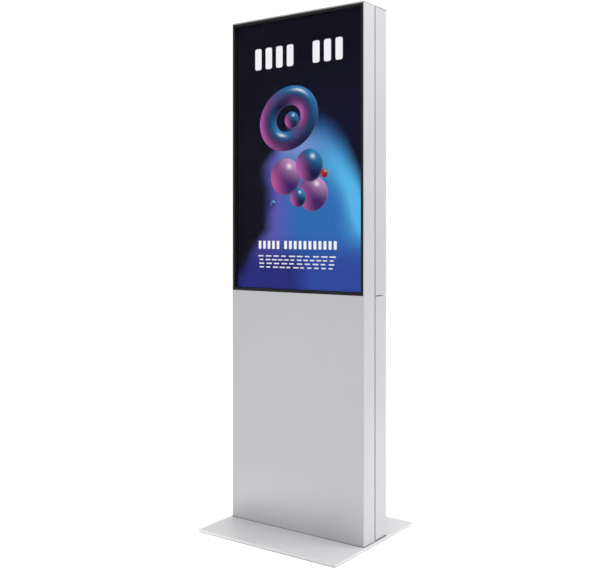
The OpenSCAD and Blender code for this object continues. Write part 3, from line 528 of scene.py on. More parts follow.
@dataclass(frozen=True)
class LitPicture:
    """The lit screen: an abstract picture of light, a ring and balls, with plain bars for words.

    Attributes:
        name: the material's name.
        foot: height of the picture's bottom edge, in metres.
        strength: how bright the screen is.
    """

    name: str
    foot: float
    strength: float

    NAVY = srgb(6, 5, 17)
    DEEP = srgb(12, 9, 36)
    INDIGO = srgb(38, 42, 122)
    BLUE = srgb(46, 72, 156)
    MID = srgb(46, 106, 180)
    LILAC = srgb(92, 88, 176)
    CYAN = srgb(86, 182, 231)
    PALE = srgb(135, 160, 214)
    WHITE = srgb(246, 246, 250)

    def _light(self, sheet: Sheet, u: Sock, v: Sock) -> Sock:
        """The wedge of coloured light behind the shapes."""
        sway = (sheet.noise(6.0, 3.0) - 0.5) * 70.0
        us, vs = u + sway, v + sway * 0.7
        spread = (210.0 - v).ramp(0.0, 190.0, False) * 150.0
        left_edge = -116.0 - spread + (v - 440.0).ramp(0.0, 160.0, False) * 130.0
        left = (us - left_edge).ramp(-42.0, 38.0)
        crest = 572.0 - (u - 80.0).most(0.0) ** 2.0 * 0.0062
        top = (crest - vs).ramp(-62.0, 78.0)
        body = sheet.mix(self.LILAC, self.MID, us.ramp(-110.0, 10.0))
        ridge_gap = (vs - crest + 118.0) / 78.0
        ridge = (-(ridge_gap * ridge_gap)).exp() * us.ramp(10.0, 180.0)
        side = us.ramp(150.0, 262.0) * v.ramp(70.0, 260.0)
        body = sheet.mix(body, self.CYAN, (ridge * 0.85 + side * 0.55).least(1.0))
        puff = (-(((us - 10.0) / 85.0) ** 2.0 + ((v - 505.0) / 60.0) ** 2.0)).exp()
        body = sheet.mix(body, self.PALE, puff * 0.75)
        low = sheet.mix(self.INDIGO, self.BLUE, us.ramp(-30.0, 80.0))
        body = sheet.mix(body, low, v.ramp(215.0, 70.0))
        ground = sheet.mix(self.NAVY, self.DEEP, v.ramp(860.0, 560.0) * us.ramp(-260.0, 60.0))
        return sheet.mix(ground, body, left * top)

    @staticmethod
    def _lit(sheet: Sheet, normal: tuple[Sock, Sock, Sock], deep: Triple, cool: Triple, warm: Triple) -> Sock:
        """Shades a solid shape with a cool light from the upper right and a warm one from the left."""
        nx, ny, nz = normal
        cool_light = (nx * 0.42 + ny * 0.70 + nz * 0.34).most(0.0) ** 2.1
        warm_light = (nx * -0.88 - ny * 0.26 + nz * 0.22).most(0.0) ** 1.9
        glint = (nx * 0.24 + ny * 0.56 + nz * 0.79).most(0.0) ** 70.0
        rim = (1.0 - nz) ** 5.0 * (nx * 0.6 + ny * -0.3 + 0.2).most(0.0)
        tone = sheet.mix(deep, cool, cool_light)
        tone = sheet.mix(tone, warm, warm_light)
        tone = sheet.mix(tone, (0.40, 0.55, 0.90), rim.least(0.8))
        return sheet.mix(tone, (0.92, 0.93, 1.0), glint * 0.85)

    def _ring(
        self, sheet: Sheet, under: Sock, u: Sock, v: Sock, spec: tuple[float, ...], tones: tuple[Triple, ...],
    ) -> Sock:
        """Lays a fat tilted ring over the picture."""
        cx, cy, a, b, turn, fat = spec
        c, s = math.cos(turn), math.sin(turn)
        x, y = u - cx, v - cy
        p, q = (x * c + y * s) / a, (y * c - x * s) / b
        radius = (p * p + q * q).sqrt().most(0.001)
        d = (radius - 1.0) / fat
        nz = (1.0 - d * d).most(0.0).sqrt()
        px, qy = p / radius * d, q / radius * d
        tone = self._lit(sheet, (px * c - qy * s, px * s + qy * c, nz), *tones)
        return sheet.mix(under, tone, d.abs().ramp(1.0, 0.955))

    def _ball(
        self, sheet: Sheet, under: Sock, u: Sock, v: Sock, spec: Triple, tones: tuple[Triple, ...],
    ) -> Sock:
        """Lays a ball over the picture."""
        cx, cy, r = spec
        nx, ny = (u - cx) / r, (v - cy) / r
        flat = nx * nx + ny * ny
        nz = (1.0 - flat).most(0.0).sqrt()
        return sheet.mix(under, self._lit(sheet, (nx, ny, nz), *tones), flat.ramp(1.0, 0.955))

    @staticmethod
    def _blocks(
        u: Sock, v: Sock, row: tuple[float, float, float, float], step: float, gap: float, curve: float,
        ragged: float = 0.0
    ) -> Sock:
        """A row of plain round-cornered blocks, as a mask.

        Args:
            u: place across the picture, in millimetres.
            v: height in the picture, in millimetres.
            row: left, right, bottom and top of the row.
            step: distance from one block to the next.
            gap: width of the gap between two blocks.
            curve: radius of the corners.
            ragged: how much shorter some blocks are, as a share of their length.

        Returns:
            1 on the blocks and 0 elsewhere.
        """
        left, right, bottom, top = row
        place = (u - left) / step
        index = place.floor()
        chance = ((index * 12.99 + bottom).sin() * 437.58).fract()
        half = (step - gap) / 2 * (1.0 - chance * ragged)
        across = ((place - index) * step - half).abs() - half + curve
        up = (v - (bottom + top) / 2).abs() - (top - bottom) / 2 + curve
        outside = (across.most(0.0) ** 2.0 + up.most(0.0) ** 2.0).sqrt() + across.most(up).least(0.0) - curve
        ends = u.ramp(left - 0.6, left) * u.ramp(right, right - 0.6)
        return outside.ramp(0.7, -0.7) * ends

    def build(self) -> bpy.types.Material:
        """Makes the material."""
        sheet = Sheet(self.name)
        x, _, z = sheet.axes()
        u, v = x / MM, (z - self.foot) / MM
        tone = self._light(sheet, u, v)
        cool_pair = (srgb(20, 18, 62), srgb(44, 140, 205), srgb(190, 98, 176))
        warm_pair = (srgb(58, 24, 96), srgb(214, 160, 210), srgb(196, 96, 158))
        tone = self._ring(sheet, tone, u, v, (-36.0, 596.0, 92.0, 78.0, 0.45, 0.42), cool_pair)
        tone = self._ball(sheet, tone, u, v, (-22.0, 590.0, 30.0), cool_pair)
        tone = self._ball(sheet, tone, u, v, (70.0, 330.0, 62.0), warm_pair)
        tone = self._ball(sheet, tone, u, v, (-48.0, 392.0, 66.0), warm_pair)
        tone = self._ball(sheet, tone, u, v, (54.0, 428.0, 58.0), cool_pair)
        tone = self._ball(sheet, tone, u, v, (6.0, 318.0, 34.0), cool_pair)
        tone = self._ball(
            sheet, tone, u, v, (116.0, 398.0, 15.0),
            (srgb(110, 16, 20), srgb(240, 96, 70), srgb(228, 60, 60)),
        )
        tone = self._ball(
            sheet, tone, u, v, (-104.0, 300.0, 11.0),
            (srgb(16, 40, 90), srgb(90, 190, 235), srgb(80, 130, 220)),
        )
        marks = self._blocks(u, v, (-184.0, 2.0, 779.0, 855.0), 47.0, 18.0, 8.0)
        marks = marks.most(self._blocks(u, v, (68.0, 192.0, 779.0, 855.0), 47.0, 18.0, 8.0))
        marks = marks.most(self._blocks(u, v, (-168.0, -74.0, 138.0, 167.0), 20.2, 8.6, 3.0))
        marks = marks.most(self._blocks(u, v, (-54.0, 170.0, 138.0, 167.0), 20.9, 8.8, 3.0))
        for line, (left, right, step) in enumerate(
            ((-170.0, 172.0, 34.2), (-164.0, 166.0, 27.5), (-166.0, 168.0, 33.4), (-164.0, 164.0, 29.8))
        ):
            height = 113.0 - 13.2 * line
            row = (left, right, height - 2.3, height + 2.3)
            marks = marks.most(self._blocks(u, v, row, step, 5.0, 1.8, 0.35) * 0.85)
        tone = sheet.mix(tone, self.WHITE, marks)
        return sheet.finish(
            Base_Color=(0.002, 0.002, 0.003), Roughness=0.35, Specular_IOR_Level=0.02,
            Emission_Color=tone, Emission_Strength=self.strength,
        )


@dataclass
class Finishes:
    """Every finish of the kiosk, made once and found by the record's slot."""

    picture_foot: float
    made: dict[str, bpy.types.Material] = field(default_factory=dict)

    def build(self) -> None:
        """Makes the materials."""
        kinds = {
            "silver_shell": PowderCoat("silver_powder_coat", (0.350, 0.349, 0.359)),
            # The plate's coat is the shell's silver painted lighter: painted light, for the light from above that
            # brightens the plate's top.
            "silver_base": PowderCoat("silver_plate_coat", (0.455, 0.455, 0.465), rough=0.46),
            "zinc_steel": PlatedSteel("zinc_plated_steel", (0.62, 0.64, 0.66), 0.36, spangle=0.45),
            "black_steel": PowderCoat("black_coated_steel", (0.028, 0.028, 0.030), 0.1, 0.45),
            "bright_screws": PlatedSteel("bright_zinc", (0.72, 0.72, 0.70), 0.26),
            "hinge_steel": PlatedSteel("satin_hinge_steel", (0.66, 0.66, 0.67), 0.30, Grain.UPRIGHT),
            "lock_chrome": PlatedSteel("lock_chrome", (0.80, 0.80, 0.82), 0.12),
            "black_frame": PowderCoat("satin_black_frame", (0.0075, 0.0075, 0.0085), 0.0, 0.42, 0.00003,
             0.10),
            "touch_glass": ClearGlass("touch_glass"),
            "lit_screen": LitPicture("lit_picture", self.picture_foot, 1.0),
            "white_diffuser": Moulded("white_diffuser", (0.84, 0.84, 0.85), 0.4),
            "white_board": Moulded("white_led_strip", (0.78, 0.78, 0.75), 0.35),
            "green_board": CircuitBoard("green_board", (0.012, 0.085, 0.035)),
            "black_plastic": Moulded("black_plastic", (0.020, 0.020, 0.022), 0.48),
            "fan_plastic": Moulded("fan_plastic", (0.030, 0.030, 0.034), 0.40),
            "player_case": PlatedSteel("dark_anodised", (0.075, 0.078, 0.085), 0.38, Grain.ACROSS, 0.85),
            "bright_button": PlatedSteel("turned_button", (0.70, 0.71, 0.73), 0.25),
            "white_plastic": Moulded("white_plastic", (0.74, 0.74, 0.71), 0.35, coat=0.3),
            "red_rocker": Moulded("red_rocker", (0.42, 0.015, 0.012), 0.30, coat=0.4),
            "pad_rubber": Moulded("pad_rubber", (0.022, 0.022, 0.022), 0.75, 500.0, 0.0002),
            "seal_rubber": Moulded("seal_rubber", (0.020, 0.020, 0.021), 0.80, 700.0, 0.0002),
            "grey_seal": Moulded("grey_seal", (0.40, 0.41, 0.42), 0.65, 700.0, 0.0001),
            "lead_jacket": Moulded("lead_jacket", (0.018, 0.018, 0.020), 0.50, 400.0, 0.0001),
            "filter_foam": Foam("filter_foam", (0.06, 0.06, 0.065)),
        }
        for slot, kind in kinds.items():
            self.made[slot] = kind.build()
        self.made["copper"] = PlatedSteel("copper_wire", (0.72, 0.34, 0.20), 0.3).build()
        self.made["gold"] = PlatedSteel("gold_contacts", (0.80, 0.60, 0.22), 0.25).build()
        self.made["chip"] = Moulded("chip_body", (0.016, 0.016, 0.018), 0.42).build()
        self.made["can"] = PlatedSteel("capacitor_can", (0.70, 0.71, 0.72), 0.22).build()
        self.made["sleeve"] = Moulded("capacitor_sleeve", (0.020, 0.030, 0.10), 0.30, coat=0.4).build()
        self.made["yellow"] = Moulded("tape_yellow", (0.72, 0.50, 0.06), 0.40).build()
        self.made["green_lamp"] = Lamp("green_lamp", (0.05, 0.9, 0.25), 2.5).build()

    def of(self, name: str) -> bpy.types.Material:
        """The material of that slot or name."""
        return self.made[name]


# ---------------------------------------------------------------- geometry


RECORD = frame["record"]
SLOT_OF = {row["node"]: row["material_slot"] for row in RECORD["subparts"]}
BODY_OF = {node: body for body, nodes in RECORD["behaviour"]["bodies"].items() for node in nodes}


def settle(obj: bpy.types.Object, body: str, slot: str, replaced: Sequence[str] = ()) -> bpy.types.Object:
    """Puts a finished piece on its body.

    Args:
        obj: the piece, at the origin.
        body: the CAD body that it rides on.
        slot: the record's material slot that it belongs to; not used.
        replaced: CAD nodes that it stands for.

    Returns:
        The piece.
    """
    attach(obj, body)
    if replaced:
        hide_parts(*replaced)
    return obj


def link(
    name: str, mesh: bpy.types.Mesh, materials: Iterable[bpy.types.Material], crease: float = 32.0,
) -> bpy.types.Object:
    """Makes an object of a mesh, smooth except along creases sharper than that angle in degrees."""
    mesh.materials.clear()
    for material in materials:
        mesh.materials.append(material)
    mesh.shade_smooth()
    mesh.set_sharp_from_angle(angle=math.radians(crease))
    obj = bpy.data.objects.new(name, mesh)
    bpy.context.scene.collection.objects.link(obj)
    return obj


def bake_modifiers(obj: bpy.types.Object) -> None:
    """Turns the object's evaluated shape into its plain mesh and takes its modifiers off."""
    graph = bpy.context.evaluated_depsgraph_get()
    solid = bpy.data.meshes.new_from_object(
        obj.evaluated_get(graph), preserve_all_data_layers=True, depsgraph=graph,
    )
    obj.modifiers.clear()
    if obj.type == "MESH":
        obj.data = solid


def crisp(node: str, finishes: Finishes, edge: float = 0.4 * MM, name: str | None = None) -> bpy.types.Object:
    """A copy of a CAD node with its folded and cut edges broken, as a maker breaks them.

    Args:
        node: the CAD node that the piece stands for.
        finishes: the kiosk's finishes.
        edge: width of the broken edge, in metres.
        name: the piece's name, or the node's name with _piece.

    Returns:
        The piece, which replaces the node.
    """
    mesh = frame["nodes"][node].data.copy()
    work = bmesh.new()
    work.from_mesh(mesh)
    bmesh.ops.remove_doubles(work, verts=work.verts, dist=2e-6)
    bmesh.ops.dissolve_limit(work, angle_limit=math.radians(0.6), verts=work.verts, edges=work.edges)
    work.to_mesh(mesh)
    work.free()
    obj = link(name or f"{node}_piece", mesh, [finishes.of(SLOT_OF[node])])
    if edge > 0:
        bevel = obj.modifiers.new("broken_edges", "BEVEL")
        bevel.width = edge
        bevel.segments = 2
        bevel.limit_method = "ANGLE"
        bevel.angle_limit = math.radians(40.0)
        bevel.harden_normals = True
        bevel.use_clamp_overlap = True
        bake_modifiers(obj)
    return settle(obj, BODY_OF[node], SLOT_OF[node], [node])


class Shape:
    """A mesh that is put together from bevelled primitives, each with its own finish."""

    def __init__(self, materials: Sequence[bpy.types.Material]) -> None:
        """Starts an empty shape that may use these materials, by number."""
        self.mesh = bmesh.new()
        self.materials = list(materials)

    def take(self, part: bmesh.types.BMesh, material: int) -> None:
        """Adds a part to the shape with one material."""
        bmesh.ops.recalc_face_normals(part, faces=part.faces)
        for face in part.faces:
            face.material_index = material
        mesh = bpy.data.meshes.new("part")
        part.to_mesh(mesh)
        part.free()
        self.mesh.from_mesh(mesh)
        bpy.data.meshes.remove(mesh)

    def block(
        self, low: Sequence[float], high: Sequence[float], material: int = 0, edge: float = 0.0,
    ) -> None:
        """Adds a block between two corners, with its edges broken by that width."""
        part = bmesh.new()
        middle = [(a + b) / 2 for a, b in zip(low, high)]
        size = [abs(b - a) for a, b in zip(low, high)]
        bmesh.ops.create_cube(
            part, size=1.0, matrix=Matrix.Translation(middle) @ Matrix.Diagonal((*size, 1.0)),
        )
        if edge > 0:
            width = min(edge, 0.45 * min(size))
            bmesh.ops.bevel(part, geom=part.edges[:], offset=width, segments=2, profile=0.5, affect="EDGES")
        self.take(part, material)

    def upright(
        self, outline: Sequence[tuple[float, float]], low: float, high: float, material: int = 0,
    ) -> None:
        """Adds a prism that stands on an outline in plan, between two heights."""
        part = bmesh.new()
        foot = [part.verts.new((x, y, low)) for x, y in outline]
        head = [part.verts.new((x, y, high)) for x, y in outline]
        for k in range(len(outline)):
            n = (k + 1) % len(outline)
            part.faces.new((foot[k], foot[n], head[n], head[k]))
        part.faces.new(foot)
        part.faces.new(head)
        self.take(part, material)

    def turned(
        self,
        centre: Sequence[float],
        axis: Sequence[float],
        outline: Sequence[tuple[float, float]],
        material: int = 0,
        sides: int = 32,
    ) -> None:
        """Adds a turned shape.

        Args:
            centre: where the outline's zero lies on the axis.
            axis: the axis of turning.
            outline: (radius, place along the axis) pairs, from axis to axis or in a closed loop.
            material: the material's number.
            sides: number of sides.
        """
        part = bmesh.new()
        turn = Vector(axis).normalized().to_track_quat("Z", "Y").to_matrix().to_4x4()
        place = Matrix.Translation(centre) @ turn
        rings: list[list[bmesh.types.BMVert]] = []
        for radius, along in outline:
            if radius < 1e-9:
                rings.append([part.verts.new(place @ Vector((0.0, 0.0, along)))])
                continue
            angles = (2 * math.pi * k / sides for k in range(sides))
            rings.append(
                [part.verts.new(place @ Vector((radius * math.cos(a), radius * math.sin(a),
                 along))) for a in angles]
            )
        closed = outline[0][0] > 1e-9
        pairs = list(zip(rings, rings[1:])) + ([(rings[-1], rings[0])] if closed else [])
        for first, second in pairs:
            for k in range(sides):
                corners = [first[k % len(first)], first[(k + 1) % len(first)]]
                corners += [second[(k + 1) % len(second)], second[k % len(second)]]
                unique = list(dict.fromkeys(corners))
                if len(unique) > 2:
                    part.faces.new(unique)
        self.take(part, material)

    def drum(
        self, centre: Sequence[float], axis: Sequence[float], radius: float, length: float, material: int = 0,
        edge: float = 0.0003, sides: int = 32,
    ) -> None:
        """Adds a drum whose first end is at centre, with broken rims."""
        edge = min(edge, radius * 0.4, length * 0.4)
        outline = [(0.0, 0.0), (radius - edge, 0.0), (radius, edge), (radius, length - edge)]
        outline += [(radius - edge, length), (0.0, length)]
        self.turned(centre, axis, outline, material, sides)

    def tube(self, points: Sequence[Vector], radius: float, material: int = 0, sides: int = 12) -> None:
        """Adds a round tube along points, with closed ends."""
        part = bmesh.new()
        normal = Vector((0.31, 0.87, 0.22))
        rings = []
        for i, point in enumerate(points):
            ahead = (points[min(i + 1, len(points) - 1)] - points[max(i - 1, 0)]).normalized()
            normal = (normal - ahead * normal.dot(ahead)).normalized()
            other = ahead.cross(normal)
            ring = []
            for k in range(sides):
                a = 2 * math.pi * k / sides
                ring.append(part.verts.new(point + (normal * math.cos(a) + other * math.sin(a)) * radius))
            rings.append(ring)
        for first, second in zip(rings, rings[1:]):
            for k in range(sides):
                part.faces.new([first[k], first[(k + 1) % sides], second[(k + 1) % sides], second[k]])
        part.faces.new(rings[0])
        part.faces.new(rings[-1])
        self.take(part, material)

    def done(
        self, name: str, body: str, slot: str, replaced: Sequence[str] = (), crease: float = 35.0,
    ) -> bpy.types.Object:
        """Ends the shape as a piece on its body."""
        mesh = bpy.data.meshes.new(name)
        self.mesh.to_mesh(mesh)
        self.mesh.free()
        obj = link(name, mesh, self.materials, crease)
        return settle(obj, body, slot, replaced)


def smooth_path(points: Sequence[Vector], steps: int) -> list[Vector]:
    """A smooth curve through the points, with that many steps between two of them."""
    path = []
    last = len(points) - 1
    for i in range(last):
        a, b, c, d = points[max(i - 1, 0)], points[i], points[i + 1], points[min(i + 2, last)]
        for s in range(steps):
            t = s / steps
            path.append(
                0.5
                * ((2 * b) + (c - a) * t + (2 * a - 5 * b + 4 * c - d) * t * t + (3 * b - a - 3 * c + d) * t ** 3)
            )
    path.append(points[last])
    return path


# ---------------------------------------------------------------- geometry nodes


class GeoTree:
    """A Geometry Nodes tree with named inputs, on an object of its own."""

    def __init__(self, name: str, inputs: dict[str, Any], path: Sequence[Vector] = ()) -> None:
        """Makes the tree.

        Args:
            name: the tree's name.
            inputs: the named sizes, each a whole number, a number or a vector.
            path: points of a line that the tree gets as its input named Path.
        """
        self.tree = bpy.data.node_groups.new(name, "GeometryNodeTree")
        self.tree.interface.new_socket("Geometry", in_out="OUTPUT", socket_type="NodeSocketGeometry")
        self.values = inputs
        self.path = [tuple(point) for point in path]
        if self.path:
            self.tree.interface.new_socket("Path", in_out="INPUT", socket_type="NodeSocketGeometry")
        for key, value in inputs.items():
            kind = "NodeSocketInt" if isinstance(value, int) else "NodeSocketFloat"
            if isinstance(value, (tuple, Vector)):
                kind = "NodeSocketVector"
            self.tree.interface.new_socket(key, in_out="INPUT", socket_type=kind)
        self.entry = self.tree.nodes.new("NodeGroupInput")
        self.exit = self.tree.nodes.new("NodeGroupOutput")

    def put(self, kind: str, settings: dict[str, Any] | None = None, **sockets: Any) -> bpy.types.Node:
        """Makes a node; a socket takes a value, a node's output, or an input's name in angle brackets."""
        node = self.tree.nodes.new(kind)
        for key, value in (settings or {}).items():
            setattr(node, key, value)
        for key, value in sockets.items():
            socket = node.inputs[key.replace("_", " ")]
            if isinstance(value, bpy.types.NodeSocket):
                self.tree.links.new(value, socket)
            elif isinstance(value, str) and value.startswith("<"):
                self.tree.links.new(self.entry.outputs[value[1:-1]], socket)
            else:
                socket.default_value = value
        return node

    def mesh(
        self, name: str, last: bpy.types.NodeSocket, material: bpy.types.Material, crease: float = 35.0,
    ) -> bpy.types.Object:
        """Ends the tree with Realize Instances and Set Material and turns the result into a plain mesh.

        Args:
            name: the object's name.
            last: the geometry that the tree ends with.
            material: the material of all of it.
            crease: angle in degrees past which an edge stays sharp.

        Returns:
            An object with no modifier.
        """
        real = self.put("GeometryNodeRealizeInstances", Geometry=last)
        dressed = self.put("GeometryNodeSetMaterial", Geometry=real.outputs[0], Material=material)
        self.tree.links.new(dressed.outputs[0], self.exit.inputs[0])
        line = bpy.data.meshes.new(name)
        line.from_pydata(self.path, [(i, i + 1) for i in range(len(self.path) - 1)], [])
        obj = bpy.data.objects.new(name, line)
        bpy.context.scene.collection.objects.link(obj)
        modifier = obj.modifiers.new("repeat", "NODES")
        modifier.node_group = self.tree
        sockets = self.tree.interface.items_tree
        ids = {item.name: item.identifier for item in sockets if item.in_out == "INPUT"}
        for key, value in self.values.items():
            modifier[ids[key]] = value
        bake_modifiers(obj)
        obj.data.shade_smooth()
        obj.data.set_sharp_from_angle(angle=math.radians(crease))
        return obj


@dataclass
class StudGrid:
    """Small studs, such as screw heads or lenses, in an upright grid that faces along Y.

    Attributes:
        centre: middle of the grid, on the surface that the studs stand on.
        columns: studs across.
        rows: studs up.
        pitch_x: distance between columns.
        pitch_z: distance between rows.
        radius: a stud's radius.
        height: how far a stud stands out; below 0 it stands out towards -Y.
        sides: sides of a stud.
        dome: how much narrower a stud's top is, from 0 to 1.
    """

    centre: Vector
    columns: int
    rows: int
    pitch_x: float
    pitch_z: float
    radius: float
    height: float
    sides: int = 20
    dome: float = 0.8

    def build(self, name: str, material: bpy.types.Material) -> bpy.types.Object:
        """Makes the studs as one mesh."""
        width, depth = self.pitch_x * (self.columns - 1), self.pitch_z * (self.rows - 1)
        tree = GeoTree(
            name,
            {
                "Columns": self.columns, "Rows": self.rows, "Width": width, "Depth": depth,
                "Radius": self.radius, "Top Radius": self.radius * self.dome, "Height": abs(self.height),
                "Centre": Vector(self.centre) + Vector((0.0, self.height / 2, 0.0)),
            },
        )
        grid = tree.put(
            "GeometryNodeMeshGrid", None, Size_X="<Width>", Size_Y="<Depth>", Vertices_X="<Columns>",
            Vertices_Y="<Rows>"
        )
        turn = math.pi / 2 if self.height > 0 else -math.pi / 2
        stud = tree.put(
            "GeometryNodeMeshCone", None, Vertices=self.sides, Radius_Top="<Top Radius>",
            Radius_Bottom="<Radius>",
            Depth="<Height>",
        )
        middle = tree.put("GeometryNodeSetPosition", None, Geometry=stud.outputs[0])
        shift = tree.put("ShaderNodeCombineXYZ", None)
        half = tree.put("ShaderNodeMath", {"operation": "MULTIPLY"})
        tree.tree.links.new(tree.entry.outputs["Height"], half.inputs[0])
        half.inputs[1].default_value = -0.5
        tree.tree.links.new(half.outputs[0], shift.inputs[2])
        tree.tree.links.new(shift.outputs[0], middle.inputs["Offset"])
        upright = tree.put(
            "GeometryNodeTransform", None, Geometry=grid.outputs[0], Rotation=(math.pi / 2, 0.0, 0.0),
        )
        facing = tree.put(
            "GeometryNodeTransform", None, Geometry=middle.outputs[0], Rotation=(-turn, 0.0, 0.0),
        )
        spread = tree.put(
            "GeometryNodeInstanceOnPoints", None, Points=upright.outputs[0], Instance=facing.outputs[0],
        )
        placed = tree.put("GeometryNodeTransform", None, Geometry=spread.outputs[0], Translation="<Centre>")
        return tree.mesh(name, placed.outputs[0], material)


@dataclass
class WireGuard:
    """A fan's wire guard: rings and spokes on the face of the fan.

    Attributes:
        centre: middle of the guard.
        radius: radius of the outer ring.
        rings: number of rings.
        spokes: number of spokes.
        wire: radius of the wire.
    """

    centre: Vector
    radius: float
    rings: int = 6
    spokes: int = 4
    wire: float = 0.0008

    def build(self, name: str, material: bpy.types.Material) -> bpy.types.Object:
        """Makes the guard as one mesh."""
        tree = GeoTree(
            name, {"Radius": self.radius, "Wire": self.wire, "Centre": Vector(self.centre),
             "Spokes": self.spokes},
        )
        join = tree.put("GeometryNodeJoinGeometry")
        wire = tree.put("GeometryNodeCurvePrimitiveCircle", None, Resolution=8, Radius="<Wire>")
        for i in range(self.rings):
            ring = tree.put("GeometryNodeCurvePrimitiveCircle", None, Resolution=64)
            share = tree.put("ShaderNodeMath", {"operation": "MULTIPLY"})
            tree.tree.links.new(tree.entry.outputs["Radius"], share.inputs[0])
            share.inputs[1].default_value = (i + 1.6) / (self.rings + 0.6)
            tree.tree.links.new(share.outputs[0], ring.inputs["Radius"])
            solid = tree.put(
                "GeometryNodeCurveToMesh", None, Curve=ring.outputs[0], Profile_Curve=wire.outputs[0],
                Fill_Caps=True
            )
            tree.tree.links.new(solid.outputs[0], join.inputs[0])
        spoke = tree.put(
            "GeometryNodeMeshCylinder", None, Vertices=8, Radius="<Wire>", Depth=self.radius * 0.76,
        )
        lying = tree.put(
            "GeometryNodeTransform", None, Geometry=spoke.outputs[0], Rotation=(0.0, math.pi / 2, 0.0),
            Translation=(self.radius * 0.62, 0.0, -self.wire * 1.2),
        )
        points = tree.put("GeometryNodeMeshCircle", None, Vertices="<Spokes>", Radius=1e-5)
        index = tree.put("GeometryNodeInputIndex")
        step = tree.put("ShaderNodeMath", {"operation": "MULTIPLY_ADD"})
        tree.tree.links.new(index.outputs[0], step.inputs[0])
        step.inputs[1].default_value = 2 * math.pi / self.spokes
        step.inputs[2].default_value = math.pi / 4
        angle = tree.put("ShaderNodeCombineXYZ")
        tree.tree.links.new(step.outputs[0], angle.inputs[2])
        fan = tree.put(
            "GeometryNodeInstanceOnPoints", None, Points=points.outputs[0], Instance=lying.outputs[0],
        )
        tree.tree.links.new(angle.outputs[0], fan.inputs["Rotation"])
        tree.tree.links.new(fan.outputs[0], join.inputs[0])
        placed = tree.put(
            "GeometryNodeTransform", None, Geometry=join.outputs[0], Rotation=(math.pi / 2, 0.0, 0.0),
            Translation="<Centre>",
        )
        return tree.mesh(name, placed.outputs[0], material, 60.0)


@dataclass
class PathTube:
    """A round tube with closed ends that follows a path.

    Attributes:
        path: points of its middle line.
        radius: the tube's radius.
        sides: sides of the tube.
    """

    path: Sequence[Vector]
    radius: float
    sides: int = 16

    def build(self, name: str, material: bpy.types.Material) -> bpy.types.Object:
        """Makes the tube as one mesh."""
        tree = GeoTree(name, {"Radius": self.radius, "Sides": self.sides}, self.path)
        line = tree.put("GeometryNodeMeshToCurve", None, Mesh="<Path>")
        ring = tree.put("GeometryNodeCurvePrimitiveCircle", None, Resolution="<Sides>", Radius="<Radius>")
        tube = tree.put(
            "GeometryNodeCurveToMesh", None, Curve=line.outputs[0], Profile_Curve=ring.outputs[0],
            Fill_Caps=True
        )
        return tree.mesh(name, tube.outputs[0], material, 60.0)


# ---------------------------------------------------------------- sub-assemblies


@dataclass
class Base:
    """The plate that the kiosk stands on, and what bolts the column to it."""

    finishes: Finishes
    plate_edge: float = 0.9 * MM
    bead_r: float = 0.65 * MM

    def build(self) -> None:
        """Makes the plate, its pads and the column's foot."""
        crisp("base_plate", self.finishes, self.plate_edge)
        crisp("base_pads", self.finishes, 0.3 * MM)
        crisp("column_foot", self.finishes, 0.5 * MM)
        crisp("foot_bolts", self.finishes, 0.3 * MM)
        crisp("foot_nuts", self.finishes, 0.4 * MM)
        self.bead()

    def bead(self) -> None:
        """Makes the dark rubber bead round the housing's foot on three sides: a painted shadow for the dark line
        along its joint with the plate.
        """
        low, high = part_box("front_housing")
        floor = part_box("base_plate")[1].z
        out = self.bead_r * 0.5
        corner = 2.6 * MM
        steps = 6
        path = [Vector((low.x - out, high.y, 0.0))]
        for x, start in ((low.x + corner, math.pi), (high.x - corner, 1.5 * math.pi)):
            for k in range(steps + 1):
                a = start + 0.5 * math.pi * k / steps
                path.append(Vector((x + (corner + out) * math.cos(a),
                    low.y + corner + (corner + out) * math.sin(a), 0.0)))
        path.append(Vector((high.x + out, high.y, 0.0)))
        line = [p + Vector((0.0, 0.0, floor + self.bead_r * 0.8)) for p in path]
        settle(
            PathTube(line, self.bead_r, 10).build("foot_shadow_bead", self.finishes.of("seal_rubber")), "column",
            "seal_rubber",
        )


